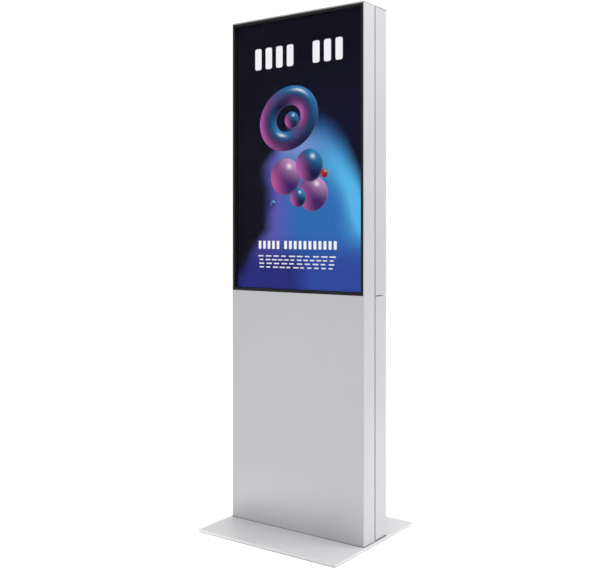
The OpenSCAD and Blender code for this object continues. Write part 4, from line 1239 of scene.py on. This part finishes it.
@dataclass
class Column:
    """The shells that show, the tubes inside and the strips in the seams.

    Attributes:
        finishes: the kiosk's finishes.
        fold: width of the broken edge of a folded shell.
        The shells that show, the tubes inside and the strips in the seams, some of which are dark strips that
        paint the shadows in the gaps.
        lip_cover: how far the lip covers the shell on each side of the seam.
        joint_inset: how far the strips under the cap are set back from its edge.
        sill_inset: how far the sill is set back from the lower door's face.
        front_inset: how far the strip under the cap is set back from the front.
        corner_cut: how much of that strip's front corners is cut off.
        rest_w: width of the strip that rests on the housing.
        strip_w: width of a strip that a door passes.
        door_clear: clearance between a door and what it passes.
    """

    finishes: Finishes
    fold: float = 0.5 * MM
    front_inset: float = 0.8 * MM
    corner_cut: float = 2.0 * MM
    rest_w: float = 9.0 * MM
    strip_w: float = 3.0 * MM
    door_clear: float = 0.4 * MM
    lip_t: float = 0.23 * MM
    lip_cover: float = 0.75 * MM
    joint_inset: float = 0.4 * MM
    sill_inset: float = 0.6 * MM

    def build(self) -> None:
        """Makes the shells, the cap, the seals, the dark strips that paint the shadows in the joints, and the
        frame of tubes.
        """
        for node in ("front_housing", "upper_rear_door", "lower_rear_door"):
            crisp(node, self.finishes, self.fold)
        crisp("top_cap", self.finishes, 0.15 * MM)
        for node in (
            "frame_uprights", "frame_cross_rails", "housing_clips", "panel_stiffeners", "strike_brackets",
        ):
            crisp(node, self.finishes, 0.4 * MM)
        for node in ("upper_seam_seal", "lower_seam_seal", "cable_edging"):
            crisp(node, self.finishes, 0.2 * MM)
        self.cap_joint()
        self.seam_lips()
        self.sill()
        crisp("top_cap_screws", self.finishes, 0.2 * MM)
        for node in ("upper_filter", "lower_filter"):
            crisp(node, self.finishes, 1.2 * MM)

    def _three_sides(self, wide: float, start: float, end: float) -> list[tuple[float, float]]:
        """The outline, in plan, of a strip round the two sides and the back of a door."""
        inner, stop = wide - self.strip_w, end - self.strip_w
        return [
            (-wide, start), (-wide, end), (wide, end), (wide, start),
            (inner, start), (inner, stop), (-inner, stop), (-inner, start),
        ]

    def cap_joint(self) -> None:
        """Makes the dark rubber strips under the cap, one on the housing and one that the upper door passes
        under, set almost flush as a painted shadow line under the cap.
        """
        cap_low, cap_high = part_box("top_cap")
        low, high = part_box("top_cap_gasket")
        door_low, door_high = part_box("upper_rear_door")
        wide = cap_high.x - self.joint_inset
        front, back = cap_low.y + self.front_inset, high.y
        cut, inner, inside = self.corner_cut, wide - self.rest_w, front + self.rest_w
        rubber = [self.finishes.of("seal_rubber")]
        rests = Shape(rubber)
        rests.upright(
            [(-wide, back), (-wide, front + cut), (cut - wide, front), (wide - cut, front),
             (wide, front + cut),
             (wide, back), (inner, back), (inner, inside), (-inner, inside), (-inner, back)], low.z, high.z,
        )
        rests.done("top_cap_shadow_gasket", "column", "seal_rubber", ["top_cap_gasket"])
        passed = Shape(rubber)
        outline = self._three_sides(wide, door_low.y + self.door_clear, cap_high.y - self.joint_inset)
        passed.upright(outline, door_high.z + self.door_clear, high.z)
        passed.done("door_head_shadow_strip", "column", "seal_rubber")

    def sill(self) -> None:
        """Makes the dark rubber sill on the plate below the lower door: a painted shadow that fills the gap under
        the door.
        """
        low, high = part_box("lower_rear_door")
        outline = self._three_sides(
            high.x - self.sill_inset, low.y + self.door_clear, high.y - self.sill_inset,
        )
        shape = Shape([self.finishes.of("seal_rubber")])
        shape.upright(outline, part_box("base_plate")[1].z, low.z - self.door_clear)
        shape.done("door_shadow_sill", "column", "seal_rubber")

    def seam_lips(self) -> None:
        """Makes the dark rubber lips over the seam beside the housing, on the side where the doors open: a
        painted shadow that makes the seam read wider and darker.
        """
        _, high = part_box("front_housing")
        inner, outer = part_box("upper_seam_seal")[1].x + 0.1 * MM, high.x + 0.02 * MM
        shape = Shape([self.finishes.of("seal_rubber")])
        for node in ("lower_rear_door", "upper_rear_door"):
            door_low, door_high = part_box(node)
            front, back = high.y + 0.05 * MM, door_low.y - 0.05 * MM
            tee = [
                (inner, front), (inner, back), (outer, back), (outer, back + self.lip_cover),
                (outer + self.lip_t, back + self.lip_cover),
                (outer + self.lip_t, front - self.lip_cover), (outer, front - self.lip_cover), (outer, front),
            ]
            shape.upright(tee, door_low.z + 0.3 * MM, door_high.z - 0.3 * MM)
        shape.done("seam_lips", "column", "seal_rubber")


@dataclass
class Doorware:
    """Hinges and locks."""

    finishes: Finishes

    def build(self) -> None:
        """Makes the leaves, pins, rivets and locks."""
        for node in ("hinge_column_leaves", "upper_hinge_leaves", "lower_hinge_leaves", "hinge_pins"):
            crisp(node, self.finishes, 0.15 * MM)
        crisp("hinge_column_rivets", self.finishes, 0.3 * MM)
        for node in ("upper_lock_body", "lower_lock_body", "upper_lock_cam", "lower_lock_cam"):
            crisp(node, self.finishes, 0.3 * MM)


@dataclass
class Display:
    """Everything from the touch frame to the panel's tray."""

    finishes: Finishes

    def build(self) -> None:
        """Makes the frame, the glass, the lit picture and what is behind it."""
        crisp("touch_frame", self.finishes, 0.5 * MM)
        crisp("touch_glass", self.finishes, 0.4 * MM)
        crisp("screen_cell", self.finishes, 0.2 * MM, "lit_screen_piece")
        for node in ("panel_bezel", "panel_chassis", "display_hook_rails", "diffuser_plate"):
            crisp(node, self.finishes, 0.25 * MM)
        for node in ("touch_sensor_boards", "led_bars", "display_mount_screws"):
            crisp(node, self.finishes, 0.15 * MM)
        low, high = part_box("panel_chassis")
        back = high.y
        screws = StudGrid(
            Vector((0.0, back, (low.z + high.z) / 2)), 5, 7, (high.x - low.x - 0.03) / 4,
            (high.z - low.z - 0.03) / 6,
            2.6 * MM, 1.2 * MM,
        )
        piece = screws.build("chassis_screws", self.finishes.of("bright_screws"))
        settle(piece, "column", "bright_screws")


@dataclass
class Boards:
    """The display's driver and power boards, their cover, and the speakers."""

    finishes: Finishes
    board_t: float = 1.6 * MM

    def _legs(self, shape: Shape, low: Vector, high: Vector, back: float, front: float) -> None:
        """Adds the four spacers that carry a board."""
        for x in (low.x + 6 * MM, high.x - 6 * MM):
            for z in (low.z + 6 * MM, high.z - 6 * MM):
                shape.drum((x, back, z), (0, 1, 0), 2.5 * MM, front - back, 2, sides=6)
                shape.drum((x, front + self.board_t, z), (0, 1, 0), 2.8 * MM, 1.4 * MM, 2)

    def driver(self) -> None:
        """Makes the driver board with its processor, memory, sockets and small parts."""
        low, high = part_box("driver_board")
        deck = low.y + 5 * MM
        top = deck + self.board_t
        made = self.finishes
        shape = Shape([made.of("green_board"), made.of("chip"), made.of("can"), made.of("black_plastic"),
            made.of("gold")])
        shape.block((low.x, deck, low.z), (high.x, top, high.z), 0, 0.2 * MM)
        self._legs(shape, low, high, low.y, deck)
        cx, cz = low.x + 68 * MM, low.z + 90 * MM
        shape.block(
            (cx - 17 * MM, top, cz - 17 * MM), (cx + 17 * MM, top + 1.8 * MM, cz + 17 * MM), 1, 0.4 * MM,
        )
        for i in range(9):
            x = cx - 16 * MM + i * 4 * MM
            shape.block(
                (x - 0.6 * MM, top + 1.8 * MM, cz - 16 * MM), (x + 0.6 * MM, top + 6 * MM, cz + 16 * MM), 2,
                0.2 * MM,
            )
        for x in (12, 32, 108, 128):
            shape.block(
                (low.x + (x - 7) * MM, top, cz - 10 * MM),
                (low.x + (x + 5) * MM, top + 1.2 * MM, cz + 12 * MM), 1, 0.3 * MM
            )
        for i in range(4):
            x = low.x + (16 + i * 32) * MM
            shape.block(
                (x - 10 * MM, top, low.z), (x + 10 * MM, top + 7.5 * MM, low.z + 15 * MM), 2, 0.4 * MM,
            )
            shape.block(
                (x - 8 * MM, top + 1.6 * MM, low.z - 0.01 * MM), (x + 8 * MM, top + 6 * MM, low.z + 3 * MM),
                3, 0.1 * MM,
            )
        rng = random.Random(7)
        for i in range(46):
            x = low.x + rng.uniform(10, 132) * MM
            z = low.z + rng.choice((26, 34, 42, 50, 132, 140, 148, 156)) * MM + rng.uniform(-1, 1) * MM
            w, h = (rng.uniform(1.0, 2.6) * MM for _ in range(2))
            shape.block(
                (x - w, top, z - h), (x + w, top + rng.uniform(0.8, 2.2) * MM, z + h),
                rng.choice((1, 2, 4)), 0.15 * MM,
            )
        shape.done("driver_board_piece", "column", "green_board", ["driver_board"])

    def power(self) -> None:
        """Makes the power board with its transformers, capacitors, coil and heat sink."""
        low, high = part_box("power_board")
        deck = low.y + 5 * MM
        top = deck + self.board_t
        made = self.finishes
        shape = Shape([made.of(k) for k in ("green_board", "chip", "can", "sleeve", "yellow", "copper")])
        shape.block((low.x, deck, low.z), (high.x, top, high.z), 0, 0.2 * MM)
        self._legs(shape, low, high, low.y, deck)
        for x, z, w, h, t in ((40, 121, 22, 21, 9.4), (101, 178, 21, 18, 8.6)):
            centre = (low.x + x * MM, low.z + z * MM)
            a, b = (centre[0] - w * MM, top, centre[1] - h * MM), (
                centre[0] + w * MM, top + t * MM, centre[1] + h * MM,
            )
            shape.block(a, b, 1, 0.8 * MM)
            shape.block(
                (a[0] - 0.6 * MM, top + 1.5 * MM, centre[1] - 0.55 * h * MM),
                (b[0] + 0.6 * MM, b[1] - 1.5 * MM, centre[1] + 0.55 * h * MM), 4, 0.8 * MM,
            )
        for x in (32, 58, 84):
            for z in (26, 54):
                shape.drum((low.x + x * MM, top, low.z + z * MM), (0, 1, 0), 9 * MM, 8.2 * MM, 3, 0.8 * MM)
                shape.drum(
                    (low.x + x * MM, top + 8.1 * MM, low.z + z * MM), (0, 1, 0), 7.6 * MM, 0.3 * MM, 2,
                    0.1 * MM,
                )
        for i in range(6):
            z = low.z + (24 + i * 13) * MM
            shape.block(
                (low.x + 104 * MM, top, z), (low.x + 111 * MM, top + 8 * MM, z + 10 * MM), 2, 0.3 * MM,
            )
        coil = Vector((low.x + 30 * MM, top + 4.6 * MM, low.z + 186 * MM))
        wind = 14
        for i in range(wind):
            a = 2 * math.pi * i / wind
            centre = coil + Vector((math.cos(a) * 10 * MM, 0, math.sin(a) * 10 * MM))
            loop = [
                centre + Vector((math.cos(a) * math.cos(b), math.sin(b),
                 math.sin(a) * math.cos(b))) * 3.8 * MM
                for b in (2 * math.pi * k / 10 for k in range(11))
            ]
            shape.tube(loop, 0.9 * MM, 5, 6)
        rng = random.Random(3)
        for i in range(26):
            x, z = low.x + rng.uniform(8, 132) * MM, low.z + rng.uniform(82, 96) * MM
            w, h = (rng.uniform(1.0, 3.0) * MM for _ in range(2))
            shape.block(
                (x - w, top, z - h), (x + w, top + rng.uniform(0.8, 3.0) * MM, z + h),
                rng.choice((1, 2, 4)), 0.2 * MM,
            )
        shape.done("power_board_piece", "column", "green_board", ["power_board"])

    def cover(self) -> None:
        """Dresses the cover and adds the screws round its rim."""
        crisp("electronics_cover", self.finishes, 0.6 * MM)
        low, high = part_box("electronics_cover")
        grid = StudGrid(
            Vector(((low.x + high.x) / 2, high.y, (low.z + high.z) / 2)), 4, 2, (high.x - low.x - 0.03) / 3,
            high.z - low.z - 0.03, 2.8 * MM, 1.0 * MM,
        )
        settle(grid.build("cover_screws", self.finishes.of("bright_screws")), "column", "bright_screws")

    def speakers(self) -> None:
        """Makes the two speaker boxes with their cones."""
        low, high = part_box("speakers")
        made = self.finishes
        shape = Shape([made.of("black_plastic"), made.of("chip"), made.of("bright_screws")])
        for side in (-1, 1):
            inner, outer = side * 60 * MM, side * 160 * MM
            x0, x1 = min(inner, outer), max(inner, outer)
            shape.block((x0, low.y, low.z), (x1, high.y - 3 * MM, high.z), 0, 1.2 * MM)
            cx, cz = (x0 + x1) / 2, (low.z + high.z) / 2
            deck = high.y - 3.1 * MM
            shape.turned(
                (cx, deck, cz), (0, 1, 0),
                [(0.0, 0.4 * MM), (5 * MM, 1.4 * MM), (6 * MM, 0.3 * MM), (15 * MM, 1.8 * MM),
                 (17 * MM, 2.7 * MM),
                 (20 * MM, 3.0 * MM), (22 * MM, 2.0 * MM), (22 * MM, -0.5 * MM), (0.0, -0.5 * MM)], 1, 40,
            )
            for dx in (-42, 42):
                for dz in (-17, 17):
                    shape.drum((cx + dx * MM, deck, cz + dz * MM), (0, 1, 0), 2.4 * MM, 1.2 * MM, 2)
        shape.done("speakers_piece", "column", "black_plastic", ["speakers"])

    def build(self) -> None:
        """Makes all of it."""
        self.driver()
        self.power()
        self.cover()
        self.speakers()


@dataclass
class Player:
    """The media player on its plate, with its button, lamps and sockets."""

    finishes: Finishes

    def build(self) -> None:
        """Makes the player."""
        made = self.finishes
        crisp("player_plate", made, 0.4 * MM)
        crisp("media_player", made, 0.5 * MM)
        crisp("player_button", made, 0.4 * MM)
        low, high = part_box("media_player")
        shape = Shape([made.of("black_plastic"), made.of("gold"), made.of("bright_screws"),
            made.of("green_lamp")])
        x0 = high.x
        mid = (low.y + high.y) / 2 - 3 * MM
        for i, drop in enumerate((44, 62, 80, 98)):
            z = high.z - drop * MM
            shape.block(
                (x0 - 2 * MM, mid - 4 * MM, z - 7 * MM), (x0 + 0.4 * MM, mid + 4 * MM, z + 7 * MM), 2,
                0.3 * MM,
            )
            shape.block(
                (x0 - 1 * MM, mid - 3 * MM, z - 6 * MM), (x0 + 0.5 * MM, mid + 3 * MM, z + 6 * MM), 0,
                0.2 * MM,
            )
            shape.block((x0, mid - 1 * MM, z - 4.5 * MM), (x0 + 0.6 * MM, mid, z + 4.5 * MM), 1, 0.1 * MM)
        shape.drum((x0 - 0.5 * MM, mid, high.z - 34 * MM), (1, 0, 0), 1.4 * MM, 1.0 * MM, 3)
        for x in (low.x + 8 * MM, high.x - 8 * MM):
            for z in (low.z + 4 * MM, high.z - 4 * MM):
                shape.drum((x, high.y, z), (0, 1, 0), 2.4 * MM, 0.8 * MM, 2)
        shape.done("player_sockets", "column", "player_case")


@dataclass
class LowerBay:
    """The shelf, the socket block, the inlet and its rocker switch."""

    finishes: Finishes

    def sockets(self) -> None:
        """Makes the socket block with one free outlet and two plugs in it."""
        low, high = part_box("socket_block")
        made = self.finishes
        deck = low.z + 38 * MM
        shape = Shape([made.of("white_plastic"), made.of("black_plastic"), made.of("bright_screws"),
            made.of("green_lamp")])
        shape.block((low.x, low.y, low.z), (high.x, high.y, deck - 1.2 * MM), 0, 2.2 * MM)
        cy = (low.y + high.y) / 2
        for x in (-80 * MM, 0.0, 80 * MM):
            base = deck - 1.3 * MM
            shape.turned(
                (x, cy, base), (0, 0, 1),
                [(18.2 * MM, 0.0), (18.2 * MM, 1.3 * MM), (19.6 * MM, 1.3 * MM), (20.6 * MM, 0.6 * MM),
                 (21 * MM, 0.0)],
                0, 48,
            )
        for x, y in ((-80, 0), (-88, 5), (-72, 5)):
            shape.block(
                (x * MM - 2.4 * MM, cy + (y - 3) * MM, deck - 1.3 * MM),
                (x * MM + 2.4 * MM, cy + (y + 1) * MM, deck - 0.9 * MM),
                1, 0.2 * MM,
            )
        for x in (0.0, 80 * MM):
            shape.turned(
                (x, cy, deck - 1 * MM), (0, 0, 1),
                [(0.0, 0.0), (17 * MM, 0.0), (17.4 * MM, 0.6 * MM), (17.2 * MM, 13 * MM),
                 (13 * MM, 20 * MM), (8 * MM, 24 * MM),
                 (6 * MM, 26 * MM), (0.0, 26.5 * MM)], 1, 40,
            )
        shape.drum((-40 * MM, cy, deck - 1.3 * MM), (0, 0, 1), 3 * MM, 1.2 * MM, 3)
        shape.done("socket_block_piece", "column", "white_plastic", ["socket_block"])

    def build(self) -> None:
        """Makes the shelf and what stands on it."""
        crisp("equipment_shelf", self.finishes, 0.4 * MM)
        crisp("inlet_bracket", self.finishes, 0.4 * MM)
        crisp("mains_inlet", self.finishes, 0.3 * MM)
        crisp("main_switch", self.finishes, 0.5 * MM)
        self.sockets()


@dataclass
class Fans:
    """Two axial fans with wire guards."""

    finishes: Finishes
    blades: int = 7
    twist: float = math.radians(34.0)

    def _rotor(self, node: str, name: str, x: float, z: float) -> None:
        """Makes one rotor round its spindle, which isn't in the middle of the rotor's box."""
        low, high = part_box(node)
        tip = (high.z - low.z) / 2 - 0.4 * MM
        hub = 16.3 * MM
        front, back = low.y, high.y
        made = self.finishes
        shape = Shape([made.of("fan_plastic"), made.of("white_plastic")])
        shape.turned(
            (x, front, z), (0, 1, 0),
            [(2.2 * MM, 0.4 * MM), (hub - 1 * MM, 0.4 * MM), (hub, 1.2 * MM), (hub, back - front - 2.2 * MM),
             (hub - 2 * MM, back - front - 0.4 * MM), (10 * MM, back - front),
             (2.2 * MM, back - front - 0.2 * MM)], 0, 48,
        )
        depth = (back - front) * 0.42
        middle = (front + back) / 2
        for i in range(self.blades):
            part = bmesh.new()
            rows = []
            steps, across = 8, 6
            for side in (-1, 1):
                for s in range(steps + 1):
                    r = hub - 0.5 * MM + (tip - hub) * s / steps
                    pitch = self.twist * (1.0 - 0.35 * s / steps)
                    row = []
                    for t in range(across + 1):
                        w = 2 * t / across - 1
                        chord = 0.92 * math.pi / self.blades * r * 1.15
                        bow = (1 - w * w) * 1.6 * MM
                        sweep = 0.22 * s / steps
                        angle = 2 * math.pi * i / self.blades + w * chord / r * math.cos(pitch) + sweep
                        lean = w * depth * math.sin(pitch) / math.sin(self.twist)
                        y = middle + lean + bow + side * 0.5 * MM
                        row.append(part.verts.new((x + r * math.cos(angle), y, z + r * math.sin(angle))))
                    rows.append(row)
            span = steps + 1
            for side in (0, 1):
                for s in range(steps):
                    for t in range(across):
                        a, b = rows[side * span + s], rows[side * span + s + 1]
                        part.faces.new((a[t], a[t + 1], b[t + 1], b[t]))
            for t in range(across):
                for s in (0, steps):
                    part.faces.new((rows[s][t], rows[s][t + 1], rows[span + s][t + 1], rows[span + s][t]))
            for s in range(steps):
                for t in (0, across):
                    part.faces.new((rows[s][t], rows[s + 1][t], rows[span + s + 1][t], rows[span + s][t]))
            shape.take(part, 0)
        shape.turned(
            (x, back - 0.35 * MM, z), (0, 1, 0),
            [(2.2 * MM, 0.0), (11 * MM, 0.0), (11 * MM, 0.25 * MM), (2.2 * MM, 0.25 * MM)], 1, 40,
        )
        shape.done(name, BODY_OF[node], SLOT_OF[node], [node])

    def build(self) -> None:
        """Makes the plate, the frames, the rotors and the guards."""
        crisp("fan_plate", self.finishes, 0.3 * MM)
        crisp("fan_frames", self.finishes, 0.6 * MM)
        low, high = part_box("fan_frames")
        half = (high.z - low.z) / 2
        z = (low.z + high.z) / 2
        self._rotor("left_fan_rotor", "left_rotor_piece", low.x + half, z)
        self._rotor("right_fan_rotor", "right_rotor_piece", high.x - half, z)
        for side, x in (("left", low.x + half), ("right", high.x - half)):
            guard = WireGuard(Vector((x, high.y + 0.9 * MM, z)), half - 4 * MM)
            settle(
                guard.build(f"{side}_fan_guard", self.finishes.of("bright_screws")), "column",
                "bright_screws",
            )
            pitch = 2 * half - 9.6 * MM
            grid = StudGrid(Vector((x, high.y, z)), 2, 2, pitch, pitch, 3.4 * MM, 1.8 * MM)
            settle(
                grid.build(f"{side}_fan_screws", self.finishes.of("bright_screws")), "column",
                "bright_screws",
            )


@dataclass
class Leads:
    """The leads that the column holds, and their saddles."""

    finishes: Finishes
    routes: dict[str, tuple[float, list[Triple]]] = field(default_factory=dict)

    def build(self) -> None:
        """Makes each lead as a round tube along its route, in height and depth as the frame has them."""
        front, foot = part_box("front_housing")[0].y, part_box("base_plate")[1].z
        for node, (radius, points) in self.routes.items():
            path = smooth_path([Vector((x * MM, front + d * MM, foot + h * MM)) for x, d, h in points], 8)
            lead = PathTube(path, radius * MM).build(f"{node}_piece", self.finishes.of("lead_jacket"))
            settle(lead, "column", "lead_jacket", [node])
        crisp("cable_clips", self.finishes, 0.3 * MM)


LEAD_ROUTES = {
    "mains_lead": (3.6, [
        (-130, 84.8, 34), (-130, 79, 34), (-146, 72, 46), (-188, 72, 90), (-213, 74, 140), (-218, 74, 190),
        (-216, 74, 236), (-198, 74, 268), (-174, 74, 290), (-166, 73, 308), (-154, 69, 322), (-138, 66, 322),
        (-125.4, 66, 322)]),
    "display_lead": (3.6, [
        (80, 66, 366), (80, 66, 378), (92, 70, 396), (140, 74, 424), (200, 76, 474), (218, 76, 560),
        (218, 76, 640),
        (218, 76, 720), (218, 76, 800), (214, 76, 900), (204, 77, 990), (176, 78, 1056), (128, 79, 1096),
        (98, 73, 1112), (84, 58, 1124), (77, 46, 1140), (75, 42, 1158), (75, 42, 1174)]),
    "picture_lead": (3.0, [
        (-60, 84, 939.2), (-60, 84, 928), (-76, 84, 908), (-118, 83, 908), (-140, 82, 950), (-144, 81, 1020),
        (-138, 80, 1080), (-116, 78, 1106), (-95, 71, 1117), (-83, 57, 1128), (-77, 46, 1144),
        (-76, 42, 1160),
        (-76, 42, 1174)]),
}


# ---------------------------------------------------------------- studio


@dataclass
class Studio:
    """A pale floor, soft light and the camera.

    Attributes:
        place: where the camera stands.
        turn: how far it looks to the left of +Y, in degrees.
        tilt: how far it looks up, in degrees.
        lens: focal length for a 36 mm wide sensor.
        shift: how far the view is moved up, as a share of its width.
    """

    place: Triple = (1.8106, -2.5608, 1.048)
    turn: float = 35.448
    tilt: float = 0.0
    lens: float = 52.444
    shift: float = -0.0845

    def _area(
        self, name: str, place: Triple, target: Triple, size: tuple[float, float], watts: float,
    ) -> None:
        """Adds a soft box that points at a target and isn't seen itself."""
        light = bpy.data.lights.new(name, "AREA")
        light.shape = "RECTANGLE"
        light.size, light.size_y = size
        light.energy = watts
        obj = bpy.data.objects.new(name, light)
        obj.location = place
        obj.visible_camera = False
        obj.rotation_euler = (Vector(target) - Vector(place)).to_track_quat("-Z", "Y").to_euler()
        bpy.context.scene.collection.objects.link(obj)

    def build(self) -> None:
        """Makes the floor, the world, the lights and the camera."""
        floor_mesh = bpy.data.meshes.new("studio_floor")
        reach = 30.0
        floor_mesh.from_pydata(
            [(-reach, -reach, 0.0), (reach, -reach, 0.0), (reach, reach, 0.0), (-reach, reach, 0.0)], [],
            [(0, 1, 2, 3)]
        )
        sheet = Sheet("pale_floor")
        tone = sheet.mix((0.95, 0.95, 0.95), (0.97, 0.97, 0.97), sheet.noise(2.0, 3.0))
        floor_mesh.materials.append(sheet.finish(Base_Color=tone, Roughness=0.8))
        floor = bpy.data.objects.new("studio_floor", floor_mesh)
        bpy.context.scene.collection.objects.link(floor)
        floor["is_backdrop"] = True

        world = bpy.data.worlds.new("studio")
        world.use_nodes = True
        backdrop = world.node_tree.nodes["Background"]
        backdrop.inputs[0].default_value = (1.0, 1.0, 1.0, 1.0)
        backdrop.inputs[1].default_value = 1.05
        bpy.context.scene.world = world
        self._area("right_box", (2.6, 0.9, 3.6), (0.0, 0.0, 1.8), (1.8, 1.8), 112.0)
        self._area("low_right_box", (1.2, 0.5, 0.15), (0.28, 0.02, 0.08), (0.5, 0.3), 0.6)
        self._area("left_box", (-1.8, -2.3, 0.3), (-0.12, -0.1, 0.1), (1.0, 0.5), 2.5)
        self._area("foot_strip", (-0.28, -0.36, 0.04), (-0.16, -0.0735, 0.08), (0.40, 0.03), 0.15)
        self._area("top_box", (0.3, -0.4, 4.4), (0.0, 0.0, 0.6), (3.0, 3.0), 120.0)

        camera = bpy.data.cameras.new("camera")
        camera.sensor_width = 36.0
        camera.lens = self.lens
        camera.shift_y = self.shift
        obj = bpy.data.objects.new("camera", camera)
        obj.location = self.place
        obj.rotation_euler = (math.radians(90.0 + self.tilt), 0.0, math.radians(self.turn))
        bpy.context.scene.collection.objects.link(obj)
        bpy.context.scene.camera = obj
        bpy.context.scene.view_settings.view_transform = "Standard"


def main() -> None:
    """Builds the kiosk, one sub-assembly at a time."""
    logging.basicConfig(level=logging.INFO, format="%(name)s: %(message)s")
    Studio().build()
    low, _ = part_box("screen_cell")
    finishes = Finishes(low.z + CELL_MARGIN)
    finishes.build()
    for part in (
        Base(finishes), Column(finishes), Doorware(finishes), Display(finishes), Boards(finishes),
        Player(finishes),
        LowerBay(finishes), Fans(finishes), Leads(finishes, LEAD_ROUTES),
    ):
        before = len(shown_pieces())
        part.build()
        LOG.info("%s: %d new pieces", type(part).__name__, len(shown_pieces()) - before)


if __name__ == "__main__":
    main()
